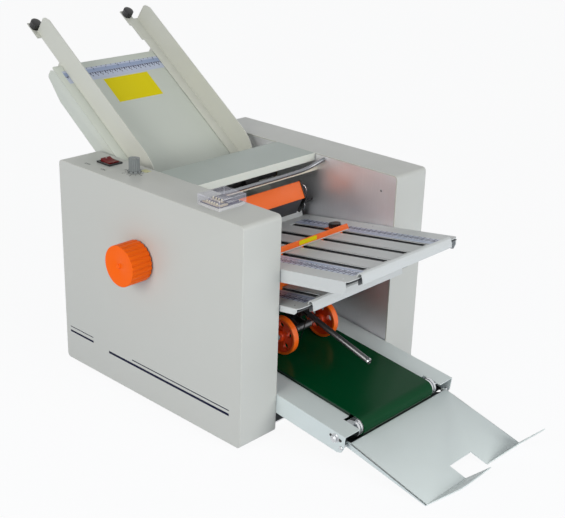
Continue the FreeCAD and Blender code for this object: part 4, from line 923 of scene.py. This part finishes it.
# ---- feed table: sheet, flanges, film
TABLE_END, TABLE_HALF, TABLE_SHEET = -358, 119, 1.5
table_sheet = block("table_sheet", (TABLE_END, -TABLE_HALF, -TABLE_SHEET), (-28, TABLE_HALF, 0))
choose(table_sheet, "EDGE", lambda edge: length_along(edge, 2) > MM
       and all(vert.co.x < (TABLE_END + 1) * MM for vert in edge.verts))
bevel(3, 4)
cut_with(table_sheet, block("pad_hole", (-62, -12, -3), (-38, 12, 1)))
flange = ((-350, -0.2), (-28, -0.2), (-28, -10.8), (-110, -13), (-160, -33), (-312, -33), (-356, -21),
          (TABLE_END, -17), (TABLE_END, -8))
flanges = [bar("flange", flange, *ends) for ends in ((-TABLE_HALF, TABLE_SHEET - TABLE_HALF),
                                                     (TABLE_HALF - TABLE_SHEET, TABLE_HALF))]
lip = ((TABLE_END, -0.8), (-356.5, -0.8), (-356.5, -16), (TABLE_END, -16))
table_sheet = joined("table_sheet", table_sheet, *flanges, bar("rear_lip", lip, -112, 112))
fit(table_sheet, (0.5, 2, 50), TABLE, SHEET, "machine", "sheet_paint", "feed_table")
fit(block("table_film", (-315.5, -43.5, 0.02), (-264, 48.5, 0.22)), (0.06, 1, 40), TABLE, YELLOW,
    "machine", "tape_print")

# ---- rulers and their figures
TAPE_SOFT = (0.08, 1, 50)
INCH, CM = 25.4, 10
rulers = [placed(block("table_ruler", (-345, -108, 0.02), (-318, 108, 0.3)), TAPE_SOFT, TABLE)]
for where, length in PLATES:
    for y0, y1 in ((-98, -73.5), (73.5, 98)):
        band = block("plate_ruler", (22, y0, 0.02), (length - 12, y1, 0.3))
        rulers.append(placed(band, TAPE_SOFT, where))
dress(joined("ruler_bands", *rulers), HERE, TAPE, "machine", "tape_print", "ruler_tapes")


def figure(number, height, x, y, turn, where):
    return set_down(lettered("figure", str(abs(number)), height, (x, y, 0.32), turn), where)


figures = [figure(n, 4.4, -340.5, n * INCH + 3, 90, TABLE) for n in range(-4, 5)]
figures += [figure(n, 4.2, -326.2, n * CM + 2.8, 90, TABLE) for n in range(-10, 11)]
for where, length in PLATES:
    figures += [figure(n, 5.4, n * CM + 3.4, side * 85.8, 0, where)
                for side in SIDES for n in range(3, length // CM - 1)]
dress(joined("ruler_figures", *figures), HERE, NAVY, "machine", "tape_print")

# ---- upper front stop
STOP = 128
upright = block("stop_fence", (STOP - 1.5, -95, 0.7), (STOP, 80, 9.8))
choose(upright, "VERT", lambda vert: vert.co.y > 79 * MM and vert.co.z < 5 * MM)
shift(y=4)
flat = block("stop_flat", (STOP - 21, -95, 0.7), (STOP - 0.5, 83, 2.2))
choose(flat, "VERT", lambda vert: vert.co.y > 79 * MM and vert.co.x < (STOP - 10) * MM)
shift(y=-5)
tongues = [block("tongue", (STOP - 1.5, y - 2.2, -2.6), (STOP, y + 2.2, 2)) for y in PLATE_SLOTS]
tab = cut_with(block("stop_tab", (STOP - 33, 64, 0.7), (STOP - 19, 88, 2.2)),
               turned("bore", (STOP - 22, 76, 1), 2.55, 6, "Z", 32))
fit(joined("stop_fence", upright, flat, tab, *tongues), (0.25, 2, 50), UPPER, ORANGE_PAINT,
    "stop_upper_front", "orange_paint", "upper_front_stop")
fit(block("stop_label", (STOP, -28, 2.6), (STOP + 0.15, 10, 8.8)), (0.04, 1, 40), UPPER, YELLOW,
    "stop_upper_front", "tape_print")
fit(block("stop_strip", (STOP - 0.2, -94.5, 0.5), (STOP + 1.9, 80, 1.7)), (0.15, 2, 50), UPPER, PALE,
    "stop_upper_front", "orange_paint")

# ---- painted shadow: thin dark lines along the far edge of each of the plates' slots, for the shade in the gap under the top sheet's edge
slot_shadow_lines = []
for where, length in PLATES:
    for y in PLATE_SLOTS:
        slot_shadow_line = block("slot_shadow_line", (42, y + 5.6, 0.01), (length - 14, y + 6.5, 0.06))
        slot_shadow_lines.append(placed(slot_shadow_line, (0.01, 1, 50), where))
dress(joined("plate_slot_shadows", *slot_shadow_lines), HERE, DARK_PRINT_AND_SHADOW, "machine", "sheet_paint")

# ---- lock knobs
lock = fluted("lock_grip", 8.8, 10.4, 14, (0.92, 0.95, 1, 1, 0.95), 9.6)
faces_up(lock, 10)
inset_by((1.2, 0.7), (2.2, 0.5), (2.4, 0.2))
faces_down(lock, 0.5)
inset_by((2.4, 0), (0.6, -1.2))
round_edges(lock, 0.35, 2, 40)
root = round_edges(turned("lock_stem", (0, 0, -1), 2.5, 3.6, "Z", 24), 0.2, 1, 40)
lock = joined("lock_grip", lock, root)
FLATTER = Matrix.Diagonal((1.08, 1.08, 0.68, 1))
for name, node, body, where, x, y in (
        ("left_lock_grip", "left_guide_knob", "guide_left_lock", TABLE, -444, -101),
        ("right_lock_grip", "right_guide_knob", "guide_right_lock", TABLE, -444, 91),
        ("stop_lock_grip", "upper_stop_knob", "stop_lock", UPPER @ FLATTER, 98.15, 70.37)):
    dress(copy_to(lock, name, where @ local(x, y, 2.5)), HERE, BLACK_AND_SHADE, body, "black_plastic", node)
bpy.data.objects.remove(lock)

# ---- cross rods
BETWEEN = 126.3
rods = [round_edges(turned("cross_rod", (x, 0, z), 4, 2 * BETWEEN, "Y", 40), 0.3, 2, 40)
        for x, z in ((60, 250), (34, 68), (370, 24))]
square_bar = placed(block("square_bar", (230, -BETWEEN, 158), (244, BETWEEN, 172)), (0.6, 2, 40), MACHINE)
cut_with(square_bar, set_down(turned("bore", (-105, 0, 0), 4.6, 60, "X", 40), ROD))
far_half = [(245, 70, 320.6), (246.5, 96, 322.6), (251.5, 118, 331), (253, BETWEEN, 333)]
near_half = [(x, -y, z) for x, y, z in reversed(far_half)]
hood_rod = wire("hood_rod", near_half + far_half, 3.1, 7)
smooth(50)
rods = set_down(joined("cross_rods", *rods, hood_rod), MACHINE)
dress(joined("cross_rods", rods, square_bar), HERE, CHROME, "machine", "bright_steel", "tie_rods")

# ---- guard panel
sheet = bar("guard_sheet", ((231.6, 299), (232.6, 299.6), (245.6, 274.6), (244.6, 273.6)), -93, 93)
fit(sheet, (0.4, 2, 40), MACHINE, ORANGE_PAINT, "machine", "orange_paint", "guard_panel")
skirt = bar("guard_skirt", ((243.6, 273.6), (244.8, 273.2), (233.2, 247.6), (232, 248.2)), -88, 88)
fit(skirt, (0.3, 2, 40), MACHINE, DARK_RUBBER, "machine", "roller_rubber")
cheek = ((230.5, 300.5), (233, 300.5), (247, 274.5), (246.5, 271), (235, 247.5), (230, 247.5),
         (227, 262), (227, 288))
brackets = []
for side in SIDES:
    brackets.append(bar("cheek", cheek, *sorted((side * 93.2, side * 95.2))))
    brackets.append(turned("cheek_pin", (231.5, side * 110.4, 262), 1.6, 32, "Y", 20))
fit(joined("guard_brackets", *brackets), (0.4, 2, 40), MACHINE, BLACK_AND_SHADE, "machine", "black_plastic")
upper_loop = ((235, 94.8, 294), (240, 96.4, 294), (243.5, 97.6, 289), (243.5, 97.8, 281),
              (241.5, 96.8, 275), (239, 94.8, 273))
lower_loop = ((238, 94.8, 265), (242, 96.4, 263), (242.5, 97.6, 257), (239, 96.6, 251), (235, 94.8, 250))
loops = [wire("wire", [(x, side * y, z) for x, y, z in loop], 0.6)
         for side in SIDES for loop in (upper_loop, lower_loop)]
loops = joined("guard_wires", *loops)
bpy.ops.object.shade_smooth()
dress(loops, MACHINE, BRIGHT, "machine", "bright_steel")

# ---- belt, its bed, and a black strip round the belt's front end that paints the shade under it
BELT_REAR, BELT_FRONT, BELT_AXIS = -181, 112.5, -9.5


def arc(x, radius, start, end, steps=16):
    """points round a roller's axis at x, from one angle to another"""
    turns = (on_circle(radius, start + (end - start) * k / steps) for k in range(steps + 1))
    return [(x + across, BELT_AXIS + up) for across, up in turns]


def around(radius):
    """the outline of a belt around two rollers"""
    return arc(BELT_FRONT, radius, 90, -90, 18) + arc(BELT_REAR, radius, 270, 90, 18)


belt = cut_with(bar("green_belt", around(14.5), -80, 80), bar("inside", around(13.05), -84, 84))
fit(belt, (0.3, 1, 50), CONVEYOR, BELT, "machine", "green_belt", "conveyor_belt")
bed = [block("bed_edge", (-165, y, -1.4), (97, y + 3.4, 3.5)) for y in (-79.6, 76.2)]
fit(joined("bed_edges", *bed), (0.3, 2, 50), CONVEYOR, DEEP_GREEN, "machine", "green_belt")


def curved_strip(name, start, end, reach):
    return bar(name, arc(BELT_FRONT, 17, start, end) + arc(BELT_FRONT, 16, end, start), -reach, reach)


# painted shade: a black strip curved round the front roller, put where there is only shade between the belt
# and the tray
shade_strip = joined("belt_end_shade_strip", curved_strip("belt_end_shade_strip", -43, -128, 108),
               curved_strip("shade_strip_foot", -80, -128, 124.4))
fit(shade_strip, (0.15, 1, 50), CONVEYOR, BLACK_AND_SHADE, "machine", "black_plastic")

# ---- catch tray
TRAY_END, TRAY_HALF, TRAY_SHEET = 143.4, 112, 1.5
NOTCH = TRAY_END - 28.5


def tray_part(name, corners):
    """a flat part of the tray's sheet, whose outline in x and y is given"""
    return pushed_out(name, [(x, y, -TRAY_SHEET) for x, y in corners], (0, 0, TRAY_SHEET))


def bent_up(piece, angle):
    return set_down(piece, local(TRAY_END, 0, 0) @ spun(-angle, "Y"))


near_ear = tray_part("near_ear", ((-0.3, -TRAY_HALF), (11, -80), (17.9, -58), (18.4, -40), (17, -8),
                                  (15, 18), (10, 4), (-0.3, -22)))
far_ear = tray_part("far_ear", ((-0.3, 30), (12, 66), (22, 94), (53, TRAY_HALF - 3), (54, TRAY_HALF),
                                (-0.3, TRAY_HALF)))
plate = tray_part("tray_plate", ((7, -TRAY_HALF), (TRAY_END, -TRAY_HALF), (TRAY_END, -22), (NOTCH, -22),
                                 (NOTCH, 30), (TRAY_END, 30), (TRAY_END, TRAY_HALF), (7, TRAY_HALF)))
cheek = ((-0.5, -2.5), (1.5, -0.7), (7, 0), (TRAY_END, 0), (TRAY_END, -3), (5, -9.6), (0.8, -9), (-0.5, -7))
cheeks = [bar("tray_cheek", cheek, *ends) for ends in ((-TRAY_HALF, TRAY_SHEET - TRAY_HALF),
                                                       (TRAY_HALF - TRAY_SHEET, TRAY_HALF))]
for side in cheeks:
    cut_with(side, turned("pin_hole", (2.8, 0, -5.1), 2, 240, "Y", 32))
tray = joined("tray", plate, *cheeks, bent_up(near_ear, 40), bent_up(far_ear, 60.5))
fit(tray, (0.25, 2, 50), TRAY, RAIL, "tray", "sheet_paint", "catch_tray")
bend = bar("tray_bend", ((7.6, -0.1), (7, 0), (5.5, -1.5), (4.5, -4), (4, -9), (5.2, -9), (5.7, -4.3),
                         (6.5, -2.2), (7.6, -1.3)), -110, 110)
fit(bend, (0.15, 1, 50), TRAY, RAIL, "tray", "sheet_paint")

# ---- delivery wheels
wheel = turned("wheel", (0, 0, 0), 30, 10, "Y", 96)
for way in SIDES:
    faces_toward(wheel, (0, way, 0))
    inset_by((3.2, 0), (0.8, -1.6), (5.5, -1), (11.6, 0), (0.4, 5.4), (1.4, 0.6))
round_edges(wheel, 0.7, 3, 34)
holes = [turned("hole", (x, 0, z), 5, 14, "Y", 32)
         for x, z in (on_circle(17.4, 18 + 72 * k) for k in range(5))]
cut_with(wheel, *holes, turned("hole", (0, 0, 0), 3.1, 30, "Y", 32))
smooth(38)
wheel.data.materials.append(WHEEL)
wheel.data.materials.append(WHEEL_RIM)
for face in wheel.data.polygons:
    middle = face.center / MM
    face.material_index = 1 if math.hypot(middle.x, middle.z) > 26 else 0
for name, y in (("near_wheel", -25.2), ("far_wheel", 64.8)):
    hand_over(copy_to(wheel, name, local(82, y, 110.8)), "wheels", "wheel_plastic", "delivery_wheels")
bpy.data.objects.remove(wheel)

# ---- steel rod over the belt
rod = turned("guide_rod", (14.75, 0, 0), 4.5, 239.5, "X", 48)
faces_toward(rod, (1, 0, 0))
inset_by((1.5, 0), (0.3, -0.3))
push(-9)
fit(rod, (0.5, 2, 50), ROD, DARK_STEEL, "machine", "bright_steel", "wheel_rod")
tip = turned("rod_tip", (131.6, 0, 0), 4.62, 5, "X", 48)
faces_toward(tip, (1, 0, 0))
inset_by((1.5, 0))
push(-1.2)
fit(tip, (0.35, 2, 50), ROD, BRIGHT, "machine", "bright_steel")

# ---- screws
screw = turned("screw", (0, 0, 0.7), 2.6, 1.4, "Z", 28)
faces_up(screw, 1)
inset_by((0.8, 0.25), (0.8, 0.12))
shank = turned("shank", (0, 0, -1.6), 1.15, 3.6, "Z", 14)
round_edges(screw, 0.25, 2, 40)
cut_with(screw, block("slot", (-1.5, -0.25, 1.05), (1.5, 0.25, 3)),
         block("slot", (-0.25, -1.5, 1.05), (0.25, 1.5, 3)))
screw = joined("screw", screw, shank)
LARGER = Matrix.Diagonal((1.5, 1.5, 1.3, 1))
places = []
for where, length in PLATES:
    for x in (20, length / 2, length - 17):
        # every slot points its own way
        places += [where @ local(x, y, 0) @ Matrix.Rotation(x + y, 4, "Z") for y in (-113, 113)]
for x in (30, 370):
    for z in (36, 310):
        places += [MACHINE @ local(x, side * 126.5, z) @ spun(90 * side, "X") @ LARGER for side in SIDES]
screws = [copy_to(screw, "screw", place) for place in places]
bpy.data.objects.remove(screw)
dress(joined("screw_heads", *screws), HERE, BRIGHT, "machine", "bright_steel", "machine_screws")

# ---- conveyor bolts and tray pins
BOLT, HEAD, REACH = 5.6, 3.6, 50
nut = turned("tension", (0, -HEAD / 2, 0), BOLT, HEAD, "Y", 6)
faces_toward(nut, (0, -1, 0))
inset_by((0.5, 0.3))
round_edges(nut, 0.25, 2, 30)
washer = round_edges(turned("washer", (0, 0.5, 0), BOLT * 1.22, 1, "Y", 40), 0.25, 2, 40)
stud = turned("stud", (0, REACH / 2 - HEAD - 0.9, 0), 3.4, REACH, "Y", 32)
faces_toward(stud, (0, -1, 0))
inset_by((0.5, 0.35))
tension = joined("tension", nut, washer, stud)
fasteners = []
for side in SIDES:
    place = CONVEYOR @ local(BELT_FRONT, side * 126, BELT_AXIS) @ spun(90 + 90 * side, "Z")
    fasteners.append(copy_to(tension, "bolt", place))
    for x, z in ((-60, -18), (-220, -20)):
        for name, y, radius, thick, sides in (("stud", 124.6, 3, 5, 28), ("collar", 125.6, 6, 1.1, 28),
                                              ("nut", 122, 5, 3, 6)):
            part = turned(name, (x, side * y, z), radius, thick, "Y", sides)
            fasteners.append(placed(part, (0.3, 2, 40), CONVEYOR))
    for name, y, radius, thick in (("tray_pin", 118, 1.8, 18), ("pin_head", 125.9, 3, 1.5)):
        part = turned(name, (125.2, side * y, -19.5), radius, thick, "Y", 24)
        fasteners.append(placed(part, (0.4, 2, 40), CONVEYOR))
bpy.data.objects.remove(tension)
dress(joined("conveyor_fasteners", *fasteners), HERE, BRIGHT, "machine", "bright_steel", "conveyor_bolts")
# painted shade: thin black films on the rails stand for the dark inside of the tension bolts' slot holes
slot_shades = []
for side in SIDES:
    slot = block("slot", (101.5, -0.05, -11.6), (124, 0.05, -7.4))
    choose(slot, "EDGE", lambda edge: length_along(edge, 1) > 0.05 * MM)
    bevel(2, 4)
    slot_shades.append(set_down(slot, CONVEYOR @ local(0, side * 125.07, 0)))
dress(joined("tension_slot_shades", *slot_shades), HERE, BLACK_AND_SHADE, "machine", "frame_steel")
